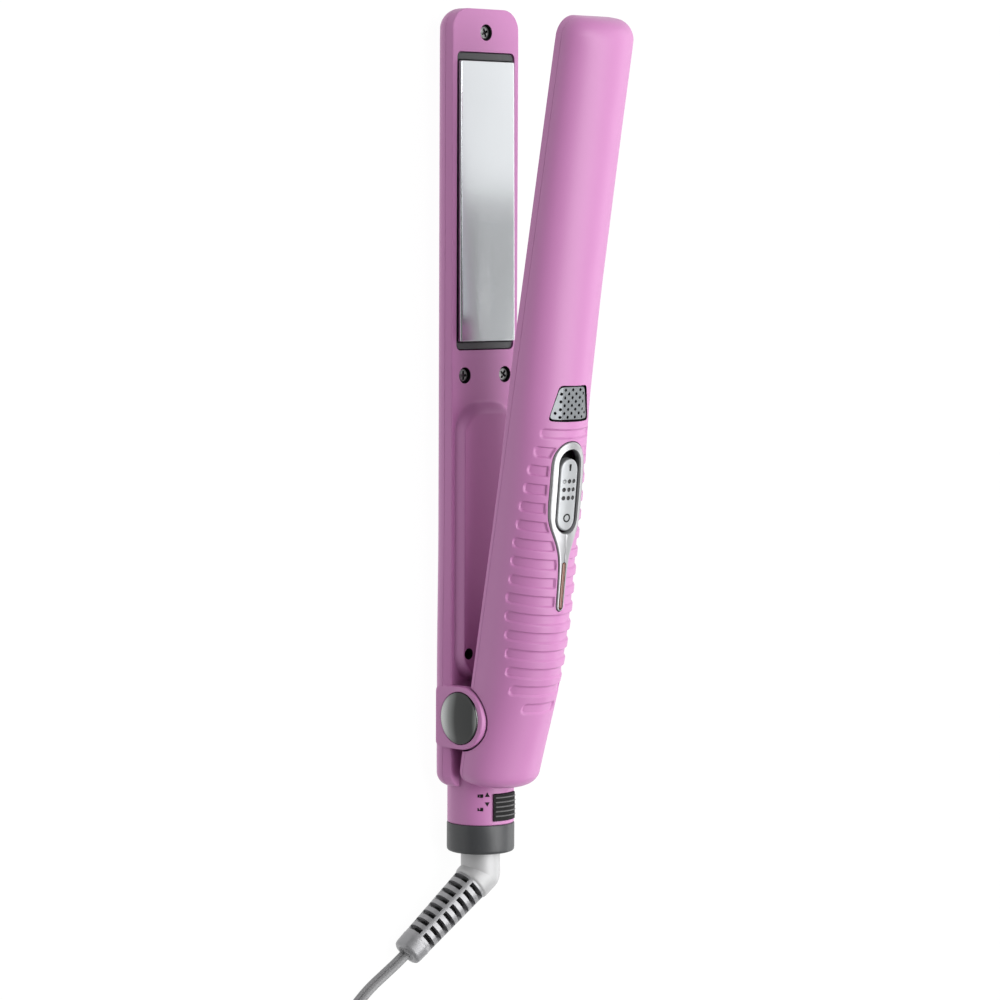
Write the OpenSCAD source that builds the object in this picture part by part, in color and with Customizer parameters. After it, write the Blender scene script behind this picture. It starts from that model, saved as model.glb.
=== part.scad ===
// Hair straightener with two hinged arms, lying open on its back.
// The tips point to -X, the cord leaves at +X, and the table is z = 0.

/* [Arms] */
// Width of both arms
arm_w = 30.6; // [28:0.1:34]
// Thickness of the lower arm
lower_h = 12.5; // [12:0.1:14]
// Height of the straight side below the dome
side_h = 2.9; // [2.5:0.1:3.5]
// Wall thickness of the shells
wall = 2.0; // [1.6:0.1:2.4]
// Corner radius of the tips
tip_r = 7; // [5:0.5:8]
// Corner radius of the rear ends
rear_r = 5; // [4:0.5:6]

/* [Hinge] */
// Height of the pin above the table
pivot_z = 17.7; // [17.5:0.1:18]
// How far the arms stand open, in degrees
open_angle = 10.3; // [8:0.1:12]
// Radius of the hinge pin
pin_r = 2.0; // [1.8:0.1:2.2]
// Radius of the round ears that hold the pin
ear_r = 10.5; // [10:0.1:11]

/* [Plates] */
// Length of the ironing plates
plate_len = 92.4; // [88:0.2:94]
// Width of the ironing plates
plate_w = 25.2; // [24:0.2:26]
// Tilt of each plate in its arm, in degrees
plate_tilt = 0.5; // [0.3:0.1:0.6]

/* [Neck and cord] */
// Radius of the neck
neck_r = 11.2; // [10.8:0.1:11.2]
// Radius of the turning cord stem
stem_r = 6.6; // [6:0.1:6.6]
// Width of the flat twin cord
cord_w = 4.2; // [4:0.1:4.4]
// Thickness of the flat twin cord
cord_t = 2.2; // [2:0.1:2.4]

/* [Hidden] */

$fn = 48;
eps = 0.01;
half_w = arm_w / 2;
dome_h = lower_h - side_h;
seam_z = dome_h;
land_cut = 0.35;          // depth of the flat land cut along the lower arm's back
tip_x = -140.2;
rear_x = 117.6;
upper_rear_x = 115.5;
pivot_x = 93.7;
inner_z = pivot_z + 0.7;  // inner face of the upper arm when it is parallel
ear_out = 16.5;
ear_in = 13.1;
ear_pad_z = 6;            // bottom of the pads that blend the ears into the shell
cap_r = 8.65;             // pivot caps and the recess they sit in
cap_seat_y = 15.3;
cap_recess_r = 8.8;
cheek_r = 13;             // upper arm's cheeks beside the ears
cheek_in = 10.8;
cheek_out = 12.8;
cheek_cut_r = 11.1;       // room for the ears beside the cheeks
knuckle_r = 4.8;
knuckle_y = 8;
window_x0 = -126.0;
window_x1 = -27.7;
window_hw = 13.3;
plate_x = (window_x0 + window_x1) / 2;
plate_t = 2.4;
plate_rise = 1.4;         // plate face above the inner face, at its middle
tip_screw_x = -132.5;
rear_screw_x = -19.4;
rear_screw_y = 9.35;
deep_screw_x = 72.8;
deep_screw_y = 10.8;
screw_head_r = 2.15;
screw_r = 1.25;
counterbore_r = 2.7;
clearance_r = 1.4;
pilot_r = 1.27;
post_r = 2.6;
lead_r = 0.8;
lead_y = 3.2;
bore_clear = 0.05;
neck_z = 11.3;
neck_x1 = 130.3;
collar_x1 = 140.2;
collar_r = 11.3;
stem_bore = stem_r + 0.06;
elbow_x = 147.9;
bend = 50.5;              // turn of the strain relief away from the neck's axis
droop = 11;               // how far that turn leans down towards the table
relief_len = 38.4;
hank_x0 = 212;
hank_run = 76;
hank_y = -43;
hank_r = 19.4;
hank_z0 = 0.5;
hank_h = 9.2;
plug_y = 8;
plug_x0 = 244;
plug_x1 = 262;
plug_grip_x = 232;
blade_y = 6.35;           // half the distance between the two blades
blade_x1 = 279.5;
vent_x0 = -21.6;
vent_x1 = -9.8;
vent_hw = 7.4;
bezel_x0 = -3.0;
bezel_x1 = 26.6;
bezel_hw = 6.3;
bezel_tail_x = 51.8;      // end of the bezel's thin tail, which holds the lamp's lens
latch_x = 110;            // notch in the upper arm's rear end that the lock's tongue enters
latch_hw = 3.4;
dome_steps = 16;

// Back height of the upper arm along X: [x, height above the inner face]
back_line = [[-140.2, 12.4], [-100, 12.9], [-52, 13.9], [-16, 15.8], [8, 18.8],
    [32, 20.6], [56, 22.3], [72, 22.0], [90, 19.6], [106, 17.2], [115.5, 16.2]];

// Corner cut between the inner face and the side along X: [x, cut]
edge_line = [[-140.2, 0.3], [-30, 0.4], [10, 1.6], [60, 2.1], [100, 3.0], [115.5, 4.0]];

function back_h(x) = lookup(x, back_line);
function edge_cut(x) = lookup(x, edge_line);
function side_at(x) = side_h + 0.4 * (back_h(x) - back_line[0][1]);

// How far a rounded end of radius r draws in at distance d from that end
function draw_in(d, r) = d >= r ? 0 : r - sqrt(r * r - (r - d) * (r - d));

// Stations along an arm: close together in the rounded ends
function stations(x0, x1, r0, r1, mids) = concat(
    [for (a = [0:15:75]) x0 + r0 * (1 - cos(a))], mids,
    [for (a = [75:-15:0]) x1 - r1 * (1 - cos(a))]);

// One ring of a D section: the flat's two corners, then the dome
function d_ring(x, w, s, h, c) = concat(
    [[x, -w, c], [x, -w + c, 0], [x, w - c, 0], [x, w, c]],
    [for (i = [0:dome_steps]) let (a = 180 * i / dome_steps) [x, w * cos(a), s + h * sin(a)]]);

// Closed solid through rings that all have the same number of points
module loft(rings) {
    n = len(rings[0]);
    last = len(rings) - 1;
    sides = [for (j = [0:last - 1], i = [0:n - 1], half = [0, 1])
        let (a = j * n + i, b = j * n + (i + 1) % n)
        half == 0 ? [a, b + n, b] : [a, a + n, b + n]];
    cap0 = [for (i = [0:n - 1]) i];
    cap1 = [for (i = [n - 1:-1:0]) last * n + i];
    polyhedron([for (r = rings, p = r) p], concat([cap0], sides, [cap1]), convexity = 6);
}

// D-shaped body with its flat at z = 0 and its dome up, drawn in by t
module lower_form(t) {
    x0 = tip_x + t;
    x1 = rear_x - t;
    mids = [-100, -40, 20, 80];
    r0 = tip_r - t;
    r1 = rear_r - t;
    loft([for (x = stations(x0, x1, r0, r1, mids))
        let (q = max(draw_in(x - x0, r0), draw_in(x1 - x, r1)))
        d_ring(x, half_w - t - q, side_h, dome_h + land_cut - t - q, 0.3)]);
}

module upper_form(t) {
    x0 = tip_x + t;
    x1 = upper_rear_x - t;
    mids = [-100, -76, -52, -34, -16, -4, 8, 20, 32, 44, 56, 64, 72, 81, 90, 98];
    r0 = tip_r - t;
    r1 = rear_r - t;
    loft([for (x = stations(x0, x1, r0, r1, mids))
        let (q = max(draw_in(x - x0, r0), draw_in(x1 - x, r1)))
        d_ring(x, half_w - t - q, side_at(x), back_h(x) - side_at(x) - t - q, edge_cut(x))]);
}

module box(x0, x1, y0, y1, z0, z1) {
    translate([x0, y0, z0]) cube([x1 - x0, y1 - y0, z1 - z0]);
}

module x_rod(x0, x1, y, z, r) {
    translate([x0, y, z]) rotate([0, 90, 0]) cylinder(h = x1 - x0, r = r);
}

module y_rod(x, z, y0, y1, r) {
    translate([x, y0, z]) rotate([-90, 0, 0]) cylinder(h = y1 - y0, r = r);
}

// Both ends of something along Y, mirrored about the middle
module both_sides() {
    children();
    mirror([0, 1, 0]) children();
}

// Rounded rectangle plate: corners of radius r
module slab(x0, x1, hw, z0, z1, r) {
    box(x0 + r, x1 - r, -hw, hw, z0, z1);
    box(x0, x1, -hw + r, hw - r, z0, z1);
    for (x = [x0 + r, x1 - r], y = [-hw + r, hw - r])
        translate([x, y, z0]) cylinder(h = z1 - z0, r = r);
}

// The upper arm swung open about the pin
module opened() {
    translate([pivot_x, 0, pivot_z]) rotate([0, open_angle, 0])
        translate([-pivot_x, 0, -pivot_z]) children();
}

// An upper-arm frame: z = 0 at its inner face, turned over from the lower arm's
module on_upper() {
    opened() translate([0, 0, inner_z]) children();
}

// A lower-arm frame: z = 0 at its inner face, up into the arm's body
module on_lower() {
    translate([0, 0, lower_h]) mirror([0, 0, 1]) children();
}

// Shared pieces of both heads, in a frame whose +z goes into the arm
module head_carrier() {
    difference() {
        union() {
            slab(window_x0 + 0.4, window_x1 - 0.4, window_hw - 0.4, 0.4, 3.0, 1.6);
            slab(window_x0 + 1.9, window_x1 - 1.9, window_hw - 1.9, 3.0, 6.0, 1.6);
        }
        box(plate_x - plate_len / 2 - 0.3, plate_x + plate_len / 2 + 0.3,
            -plate_w / 2 - 0.1, plate_w / 2 + 0.1, 0, 2.2);
        box(plate_x - 40, plate_x + 40, -10, 10, 2, 5);
    }
}

module plate_tilted() {
    translate([plate_x, 0, -plate_rise]) rotate([0, plate_tilt, 0])
        translate([-plate_x, 0, 0]) children();
}

module head_plate() {
    bevel = 0.8;
    hw = plate_w / 2;
    plate_tilted() translate([plate_x - plate_len / 2, 0, 0]) rotate([90, 0, 90])
        linear_extrude(plate_len) polygon([[-hw + bevel, 0], [hw - bevel, 0], [hw, bevel],
            [hw, plate_t], [-hw, plate_t], [-hw, bevel]]);
}

module head_heater() {
    plate_tilted() box(plate_x - 32, plate_x + 32, -6, 6, plate_t, plate_t + 2.2);
}

module head_insulator() {
    box(plate_x - 36, plate_x + 36, -8, 8, 4.0, 4.9);
}

module screw(x, y, depth, z_head) {
    translate([x, y, z_head]) difference() {
        union() {
            cylinder(h = 1.3, r = screw_head_r);
            cylinder(h = depth, r = screw_r);
        }
        translate([0, 0, -eps]) rotate([0, 0, 45]) {
            translate([-1.2, -0.3, 0]) cube([2.4, 0.6, 0.8]);
            translate([-0.3, -1.2, 0]) cube([0.6, 2.4, 0.8]);
        }
    }
}

module head_screws() {
    screw(tip_screw_x, 0, 6.4, 0.7);
    for (y = [-rear_screw_y, rear_screw_y]) screw(rear_screw_x, y, 6.4, 0.7);
}

// Screw holes of a cover: counterbore and through hole
module cover_holes() {
    translate([tip_screw_x, 0, -1]) cylinder(h = 3, r = counterbore_r);
    translate([tip_screw_x, 0, -1]) cylinder(h = 6, r = clearance_r);
    for (y = [-rear_screw_y, rear_screw_y]) {
        translate([rear_screw_x, y, -1]) cylinder(h = 3, r = counterbore_r);
        translate([rear_screw_x, y, -1]) cylinder(h = 6, r = clearance_r);
    }
}

// Posts in a shell that take the cover's screws
module screw_posts(h) {
    translate([tip_screw_x, 0, side_h]) cylinder(h = h, r = post_r);
    for (y = [-rear_screw_y, rear_screw_y])
        translate([rear_screw_x, y, side_h]) cylinder(h = h - 1, r = post_r);
}

module post_holes() {
    translate([tip_screw_x, 0, side_h - 1]) cylinder(h = 5.6, r = pilot_r);
    for (y = [-rear_screw_y, rear_screw_y])
        translate([rear_screw_x, y, side_h - 1]) cylinder(h = 5.6, r = pilot_r);
}

// Lower arm: the back shell with the lower half of the neck
module lower_shell() {
    color("orchid") difference() {
        union() {
            difference() {
                on_lower() lower_form(0);
                on_lower() lower_form(wall);
            }
            intersection() {
                on_lower() lower_form(0);
                on_lower() union() {
                    screw_posts(9);
                    for (y = [-deep_screw_y, deep_screw_y])
                        translate([deep_screw_x, y, side_h]) cylinder(h = 6, r = 2.4);
                }
            }
            x_rod(112, neck_x1, 0, neck_z, neck_r);
            both_sides() box(pivot_x - ear_r, pivot_x + ear_r, -ear_out, -half_w + 2.4, ear_pad_z, seam_z);
        }
        on_lower() post_holes();
        for (y = [-deep_screw_y, deep_screw_y])
            on_lower() translate([deep_screw_x, y, side_h - 1]) cylinder(h = 5, r = pilot_r);
        x_rod(111, neck_x1 + 1, 0, neck_z, neck_r - wall);
        both_sides() y_rod(pivot_x, pivot_z, cap_seat_y, 20, cap_recess_r);
        box(tip_x - 1, neck_x1 + 1, -20, 20, seam_z, 30);
        box(tip_x - 1, neck_x1 + 1, -20, 20, -5, 0);
    }
}

// Plan outline of the raised hump on the lower cover
module hump(grow, z0, z1) {
    slab(-10.5 - grow, 82, 13.6 + grow, z0, z1, 10);
}

// Lower arm: the inner face with its window, hump, ears and upper neck
module lower_cover() {
    hump_top = 16.3;
    color("orchid") difference() {
        union() {
            intersection() {
                on_lower() lower_form(0);
                box(tip_x - 1, rear_x + 1, -20, 20, seam_z, 20);
            }
            hump(0, 11, hump_top);
            both_sides() {
                y_rod(pivot_x, pivot_z, ear_in, ear_out, ear_r);
                box(pivot_x - ear_r, pivot_x + ear_r, ear_in, ear_out, seam_z, pivot_z);
            }
            intersection() {
                x_rod(rear_x, neck_x1, 0, neck_z, neck_r);
                box(rear_x, neck_x1, -20, 20, seam_z, 30);
            }
        }
        x_rod(rear_x + 1.6, neck_x1 + 1, 0, neck_z, neck_r - wall);
        x_rod(100, rear_x + 2, 0, neck_z - 4, 4);
        box(rear_x - 1, neck_x1 - 0.9, -4.6, 4.6, 17.2, 24);
        slab(window_x0, window_x1, window_hw, 0, 20, 1.8);
        on_lower() cover_holes();
        hump(-wall, 0, hump_top - wall);
        for (y = [-deep_screw_y, deep_screw_y])
            translate([deep_screw_x, y, 0]) cylinder(h = 30, r = 1.9);
        both_sides() y_rod(pivot_x, pivot_z, cap_seat_y, 20, cap_recess_r);
        y_rod(pivot_x, pivot_z, -20, 20, pin_r + 0.02);
        box(80.5, 107.5, -half_w + 3.4, half_w - 3.4, 0, 12);
        box(tip_x - 1, neck_x1 + 1, -20, 20, -1, seam_z);
    }
}

module lower_plate_carrier() { color("dimgray") on_lower() head_carrier(); }
module lower_insulator() { color("khaki") on_lower() head_insulator(); }
module lower_heater() { color("tan") on_lower() head_heater(); }
module lower_plate() { color("silver") on_lower() head_plate(); }
module thermal_fuse() { color("white") x_rod(-70, -58, 9.0, 9.0, 0.9); }
module lower_screws() { color("gray") on_lower() head_screws(); }

module deep_screws() {
    color("gray") for (y = [-deep_screw_y, deep_screw_y])
        translate([deep_screw_x, y, 0]) difference() {
            union() {
                translate([0, 0, 9.7]) cylinder(h = 1.5, r = 1.85);
                translate([0, 0, 6.5]) cylinder(h = 4, r = screw_r);
            }
            translate([-1, -0.25, 10.5]) cube([2, 0.5, 1]);
            translate([-0.25, -1, 10.5]) cube([0.5, 2, 1]);
        }
}

module lower_leads() {
    color("red") x_rod(-46, 119, -lead_y, 4.6, lead_r);
    color("white") x_rod(-46, 119, lead_y, 4.6, lead_r);
}

module hinge_pin() { color("silver") y_rod(pivot_x, pivot_z, -15.2, 15.2, pin_r); }

// Slightly domed cap that covers the end of the pin, on the +Y ear
module pivot_cap() {
    translate([pivot_x, cap_seat_y, pivot_z]) rotate([-90, 0, 0]) intersection() {
        cylinder(h = 2, r = cap_r);
        translate([0, 0, 2 - 26]) sphere(r = 26, $fn = 96);
    }
}

module rear_pivot_cap() { color("silver") pivot_cap(); }
module front_pivot_cap() { color("silver") mirror([0, 1, 0]) pivot_cap(); }

// Torsion spring around the pin, drawn as its coil's tube, with one leg into each arm
module hinge_spring() {
    wire_r = 0.5;
    coil_r = 3.0;
    color("gray") {
        difference() {
            y_rod(pivot_x, pivot_z, -5.2, 5.2, coil_r + wire_r);
            y_rod(pivot_x, pivot_z, -6, 6, coil_r - wire_r);
        }
        x_rod(pivot_x - 9, pivot_x, -4.6, pivot_z - coil_r, wire_r);
        x_rod(pivot_x - 9, pivot_x, 4.6, pivot_z + coil_r, wire_r);
    }
}

module collar_ring() {
    color("dimgray") difference() {
        union() {
            x_rod(neck_x1, collar_x1, 0, neck_z, collar_r);
            x_rod(neck_x1 - 1.4, neck_x1 + 1, 0, neck_z, neck_r - wall - 0.04);
        }
        x_rod(neck_x1 - 3, neck_x1 + 1.2, 0, neck_z, 8.2);
        x_rod(neck_x1 + 1, 137.7, 0, neck_z, 9.6);
        x_rod(130, 150, 0, neck_z, stem_bore);
    }
}

module contact_brushes() {
    color("gold") for (x = [123.5, 127.0]) box(x, x + 1.6, -1.4, 1.4, 2.2, neck_z - 6.2);
}

// Lock button: a ribbed pad on the neck with a tongue that slides forward
module lock_slider() {
    x0 = rear_x + 3.2;
    color("#202020") {
        difference() {
            intersection() {
                x_rod(x0, x0 + 8.2, 0, neck_z, neck_r + 1.0);
                box(x0, x0 + 8.2, -4.3, 4.3, 18, 30);
            }
            x_rod(x0 - 1, x0 + 10, 0, neck_z, neck_r - 1.2);
            for (k = [0:4]) box(x0 + 1 + k * 1.4, x0 + 1.6 + k * 1.4, -5, 5, 21.8, 30);
        }
        box(x0 - 2.4, x0 + 4, -2, 2, 17.6, 19.1);
        box(x0, x0 + 3, -2, 2, 18, 21.6);
    }
}

// Frame at the elbow whose z runs along the strain relief
module along_relief() {
    translate([elbow_x, 0, neck_z]) rotate([droop, 0, 0]) rotate([0, 0, -bend])
        rotate([0, 90, 0]) children();
}

module swivel_stem() {
    color("silver") difference() {
        union() {
            x_rod(119.5, 131, 0, neck_z, 5.0);
            x_rod(130.5, elbow_x, 0, neck_z, stem_r);
            x_rod(134.6, 137.5, 0, neck_z, 9.3);
            translate([elbow_x, 0, neck_z]) sphere(r = stem_r);
            along_relief() cylinder(h = 5, r = stem_r);
        }
        x_rod(118, 146, 0, neck_z, 2.6);
        along_relief() translate([0, 0, 5]) cylinder(h = 10, r = 10);
    }
}

module contact_rings() {
    color("gold") for (x = [123.3, 126.8]) difference() {
        x_rod(x, x + 2, 0, neck_z, 6.0);
        x_rod(x - 1, x + 3, 0, neck_z, 5.0);
    }
}

// Ribbed sleeve that keeps the cord from kinking
module strain_relief() {
    r0 = 6.1;
    r1 = 4.9;
    rows = 8;
    pitch = 3.4;
    color("lightgray") along_relief() difference() {
        translate([0, 0, 5]) cylinder(h = relief_len - 5, r1 = r0, r2 = r1);
        for (k = [0:rows - 1]) translate([0, 0, 6.6 + k * pitch]) difference() {
            cylinder(h = 1.6, r = 8);
            translate([0, 0, -1]) cylinder(h = 4, r = 3.2);
            for (a = [0, 90]) rotate([0, 0, a]) translate([-10, -0.9, -1]) cube([20, 1.8, 4]);
        }
    }
}

// Route of the cord from the sleeve to the hank
cord_route = [[172.4, -29.2, 5.6], [174.5, -31.7, 5.1], [178.4, -37.2, 4.0], [182.3, -43, 3.1],
    [186.6, -48, 2.5], [191.5, -52.3, 2.1], [197, -55.8, 1.8], [203.5, -58.6, 1.7], [209, -59.8, 1.6]];

function unit(v) = v / norm(v);
function route_dir(i) = unit(cord_route[min(i + 1, len(cord_route) - 1)] - cord_route[max(i - 1, 0)]);

// One ring of the flat cord: wide across, thin in height
function cord_ring(i) = let (d = route_dir(i), s = unit(cross([0, 0, 1], d)), u = cross(d, s))
    [for (a = [0:45:315]) cord_route[i] + s * cord_w / 2 * cos(a) + u * cord_t / 2 * sin(a)];

module power_cord() { color("gray") loft([for (i = [0:len(cord_route) - 1]) cord_ring(i)]); }

module hank_form(r, z0, z1) {
    translate([hank_x0, hank_y, z0]) cylinder(h = z1 - z0, r = r);
    translate([hank_x0 + hank_run, hank_y, z0]) cylinder(h = z1 - z0, r = r);
    box(hank_x0, hank_x0 + hank_run, hank_y - r, hank_y + r, z0, z1);
}

module cord_hank() { color("gray") hank_form(hank_r, hank_z0, hank_z0 + hank_h); }

module cord_tie() {
    mid = hank_x0 + hank_run / 2;
    skin = 0.5;
    color("black") difference() {
        box(mid - 5, mid + 5, hank_y - hank_r - skin, hank_y + hank_r + skin,
            0, hank_z0 + hank_h + skin);
        box(mid - 6, mid + 6, hank_y - hank_r, hank_y + hank_r, hank_z0, hank_z0 + hank_h);
    }
}

module plug_body() {
    color("dimgray") {
        box(plug_x0, plug_x1, plug_y - 11, plug_y + 11, 0, 11);
        box(plug_grip_x, plug_x0, plug_y - 4.5, plug_y + 4.5, 0.5, 9);
    }
}

module plug_blades() {
    color("gold") for (y = [plug_y - blade_y, plug_y + blade_y])
        box(plug_x1, blade_x1, y - 0.75, y + 0.75, 2.3, 8.7);
}

// Upper arm: the back shell with its openings and pivot cheeks
module upper_shell() {
    color("orchid") on_upper() difference() {
        union() {
            difference() {
                upper_form(0);
                upper_form(wall);
            }
            intersection() {
                upper_form(0);
                union() {
                    screw_posts(9);
                    both_sides() y_rod(pivot_x, pivot_z - inner_z, cheek_in, cheek_out, cheek_r);
                }
            }
        }
        post_holes();
        box(tip_x - 1, 130, -20, 20, -5, side_h);
        both_sides() y_rod(pivot_x, pivot_z - inner_z, cheek_out, 20, cheek_cut_r);
        y_rod(pivot_x, pivot_z - inner_z, -20, 20, pin_r + 1.2);
        slab(vent_x0, vent_x1, vent_hw, 8, 30, 2);
        slab(bezel_x0, bezel_x1, bezel_hw, 10, 30, 5.5);
        slab(bezel_x1 - 0.6, bezel_tail_x, 1.2, 14, 30, 0.5);
        box(latch_x, 120, -latch_hw, latch_hw, -1, 8.6);
    }
}

// Upper arm: the inner face with its window and hinge knuckles
module upper_cover() {
    color("orchid") on_upper() difference() {
        union() {
            intersection() {
                upper_form(0);
                box(tip_x - 1, 120, -20, 20, -1, side_h);
            }
            for (s = [-1, 1]) translate([0, s * knuckle_y, 0])
                y_rod(pivot_x, pivot_z - inner_z, -2.4, 2.4, knuckle_r);
        }
        slab(window_x0, window_x1, window_hw, -1, 20, 1.8);
        cover_holes();
        both_sides() y_rod(pivot_x, pivot_z - inner_z, cheek_in - 0.2, 20, cheek_r + 0.1);
        box(pivot_x - 10.5, pivot_x + 8, -5.4, 5.4, -8, 8);
        y_rod(pivot_x, pivot_z - inner_z, -20, 20, 3.2);
        box(latch_x, 120, -latch_hw, latch_hw, -2, 8);
    }
}

module upper_plate_carrier() { color("dimgray") on_upper() head_carrier(); }
module upper_insulator() { color("khaki") on_upper() head_insulator(); }
module upper_heater() { color("tan") on_upper() head_heater(); }
module upper_plate() { color("silver") on_upper() head_plate(); }
module upper_screws() { color("gray") on_upper() head_screws(); }

module hinge_bushes() {
    color("gold") on_upper() for (s = [-1, 1]) translate([0, s * knuckle_y, 0]) difference() {
        y_rod(pivot_x, pivot_z - inner_z, -2.4, 2.4, 3.18);
        y_rod(pivot_x, pivot_z - inner_z, -3, 3, pin_r + bore_clear);
    }
}

module upper_leads() {
    color("red") on_upper() x_rod(-46, -2, -lead_y, 7.4, lead_r);
    color("white") on_upper() x_rod(-46, -2, lead_y, 7.4, lead_r);
}

module control_board() {
    color("green") on_upper() {
        box(-1.5, 66, -9, 9, 6.5, 8.1);
        for (x = [58, 63]) translate([x, 0, 8.1]) cylinder(h = 4, r = 2);
    }
}

module ion_module() { color("#303030") on_upper() box(-24, -7, -2.2, 2.2, 4.6, 9.0); }

module vent_grille() {
    color("silver") on_upper() difference() {
        intersection() {
            upper_form(0.3);
            slab(vent_x0 + 0.2, vent_x1 - 0.2, vent_hw - 0.2, 8, 30, 1.8);
        }
        upper_form(1.9);
        for (i = [0:3], j = [-1:1]) translate([-19.8 + i * 2.7, j * 3.2, 5])
            cylinder(h = 20, r = 0.5);
    }
}

module switch_body() {
    color("#202020") on_upper() box(6, 22, -4.4, 4.4, 8.2, 13.6);
}

module switch_bezel() {
    color("silver") on_upper() difference() {
        intersection() {
            upper_form(0);
            union() {
                slab(bezel_x0 + 0.2, bezel_x1 - 0.2, bezel_hw - 0.2, 14, 30, 5.3);
                slab(bezel_x1 - 6, bezel_tail_x - 0.2, 1.0, 14, 30, 0.5);
            }
        }
        upper_form(2.4);
        slab(-0.9, 26.2, 4.6, 5, 30, 4.4);
        slab(35.8, 51.2, 0.7, 5, 30, 0.4);
    }
}

module indicator_lamp() { color("orange") on_upper() x_rod(38, 46, 0, 11.6, 1.6); }

module indicator_lens() {
    color("sienna") on_upper() difference() {
        intersection() {
            upper_form(0.3);
            slab(36, 51, 0.6, 5, 30, 0.4);
        }
        upper_form(2.2);
    }
}

// Power switch button: sits in the bezel's recess, slides towards the tip
module power_slider() {
    color("silver") on_upper() difference() {
        intersection() {
            upper_form(0.2);
            slab(2.1, 25.8, 4.1, 14.6, 30, 4.0);
        }
        upper_form(2.6);
    }
}

lower_shell();
lower_cover();
lower_plate_carrier();
lower_insulator();
lower_heater();
lower_plate();
thermal_fuse();
lower_screws();
deep_screws();
lower_leads();
hinge_pin();
front_pivot_cap();
rear_pivot_cap();
hinge_spring();
collar_ring();
contact_brushes();
lock_slider();
swivel_stem();
contact_rings();
strain_relief();
power_cord();
cord_hank();
cord_tie();
plug_body();
plug_blades();
upper_shell();
upper_cover();
upper_plate_carrier();
upper_insulator();
upper_heater();
upper_plate();
upper_screws();
hinge_bushes();
upper_leads();
control_board();
ion_module();
vent_grille();
switch_body();
switch_bezel();
indicator_lamp();
indicator_lens();
power_slider();
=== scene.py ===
import math

import bmesh
import bpy
import numpy as np
from mathutils import Matrix, Vector


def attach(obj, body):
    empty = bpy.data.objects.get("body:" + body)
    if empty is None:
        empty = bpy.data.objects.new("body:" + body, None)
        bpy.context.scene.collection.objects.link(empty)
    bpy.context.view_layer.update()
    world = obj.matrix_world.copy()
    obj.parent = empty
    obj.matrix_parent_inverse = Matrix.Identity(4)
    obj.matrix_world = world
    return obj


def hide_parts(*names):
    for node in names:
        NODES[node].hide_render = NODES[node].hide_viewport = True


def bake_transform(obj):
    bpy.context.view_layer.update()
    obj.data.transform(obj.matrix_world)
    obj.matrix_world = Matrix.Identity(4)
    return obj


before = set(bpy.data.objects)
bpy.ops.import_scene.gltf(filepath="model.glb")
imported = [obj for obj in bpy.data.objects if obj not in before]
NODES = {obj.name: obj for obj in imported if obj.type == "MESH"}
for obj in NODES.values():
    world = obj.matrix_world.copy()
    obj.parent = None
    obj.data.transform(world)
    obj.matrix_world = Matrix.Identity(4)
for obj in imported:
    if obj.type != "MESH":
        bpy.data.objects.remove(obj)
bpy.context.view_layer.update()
MM = 0.001


# ---------------------------------------------------------------- camera
def make_camera():
    """Long lens, looking down on the iron with its tips at the top of the frame."""
    lean, pitch, roll = (math.radians(v) for v in (44.93, 4.081, 0.241))
    across = np.array([0, math.sin(lean), math.cos(lean)])
    away = np.array([0, -math.cos(lean), math.sin(lean)])
    along = np.array([1.0, 0, 0])
    place = np.array([-69.0, 0, 12.5]) + 5.21 * across + 1280 * away
    look = -away * math.cos(pitch) + along * math.sin(pitch)
    up = -along * math.cos(pitch) - away * math.sin(pitch)
    right = across * math.cos(roll) + up * math.sin(roll)
    up = up * math.cos(roll) - across * math.sin(roll)
    data = bpy.data.cameras.new("camera")
    data.sensor_width = 36
    data.lens = 138.6
    data.clip_start = 0.05
    data.clip_end = 50
    cam = bpy.data.objects.new("camera", data)
    m = Matrix([[right[i], up[i], -look[i], place[i] * MM] for i in range(3)] + [[0, 0, 0, 1]])
    cam.matrix_world = m
    bpy.context.scene.collection.objects.link(cam)
    bpy.context.scene.camera = cam


make_camera()


# ---------------------------------------------------------------- materials
def nodes_of(name):
    mat = bpy.data.materials.new(name)
    mat.use_nodes = True
    nt = mat.node_tree
    return mat, nt, nt.nodes["Principled BSDF"]


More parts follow.
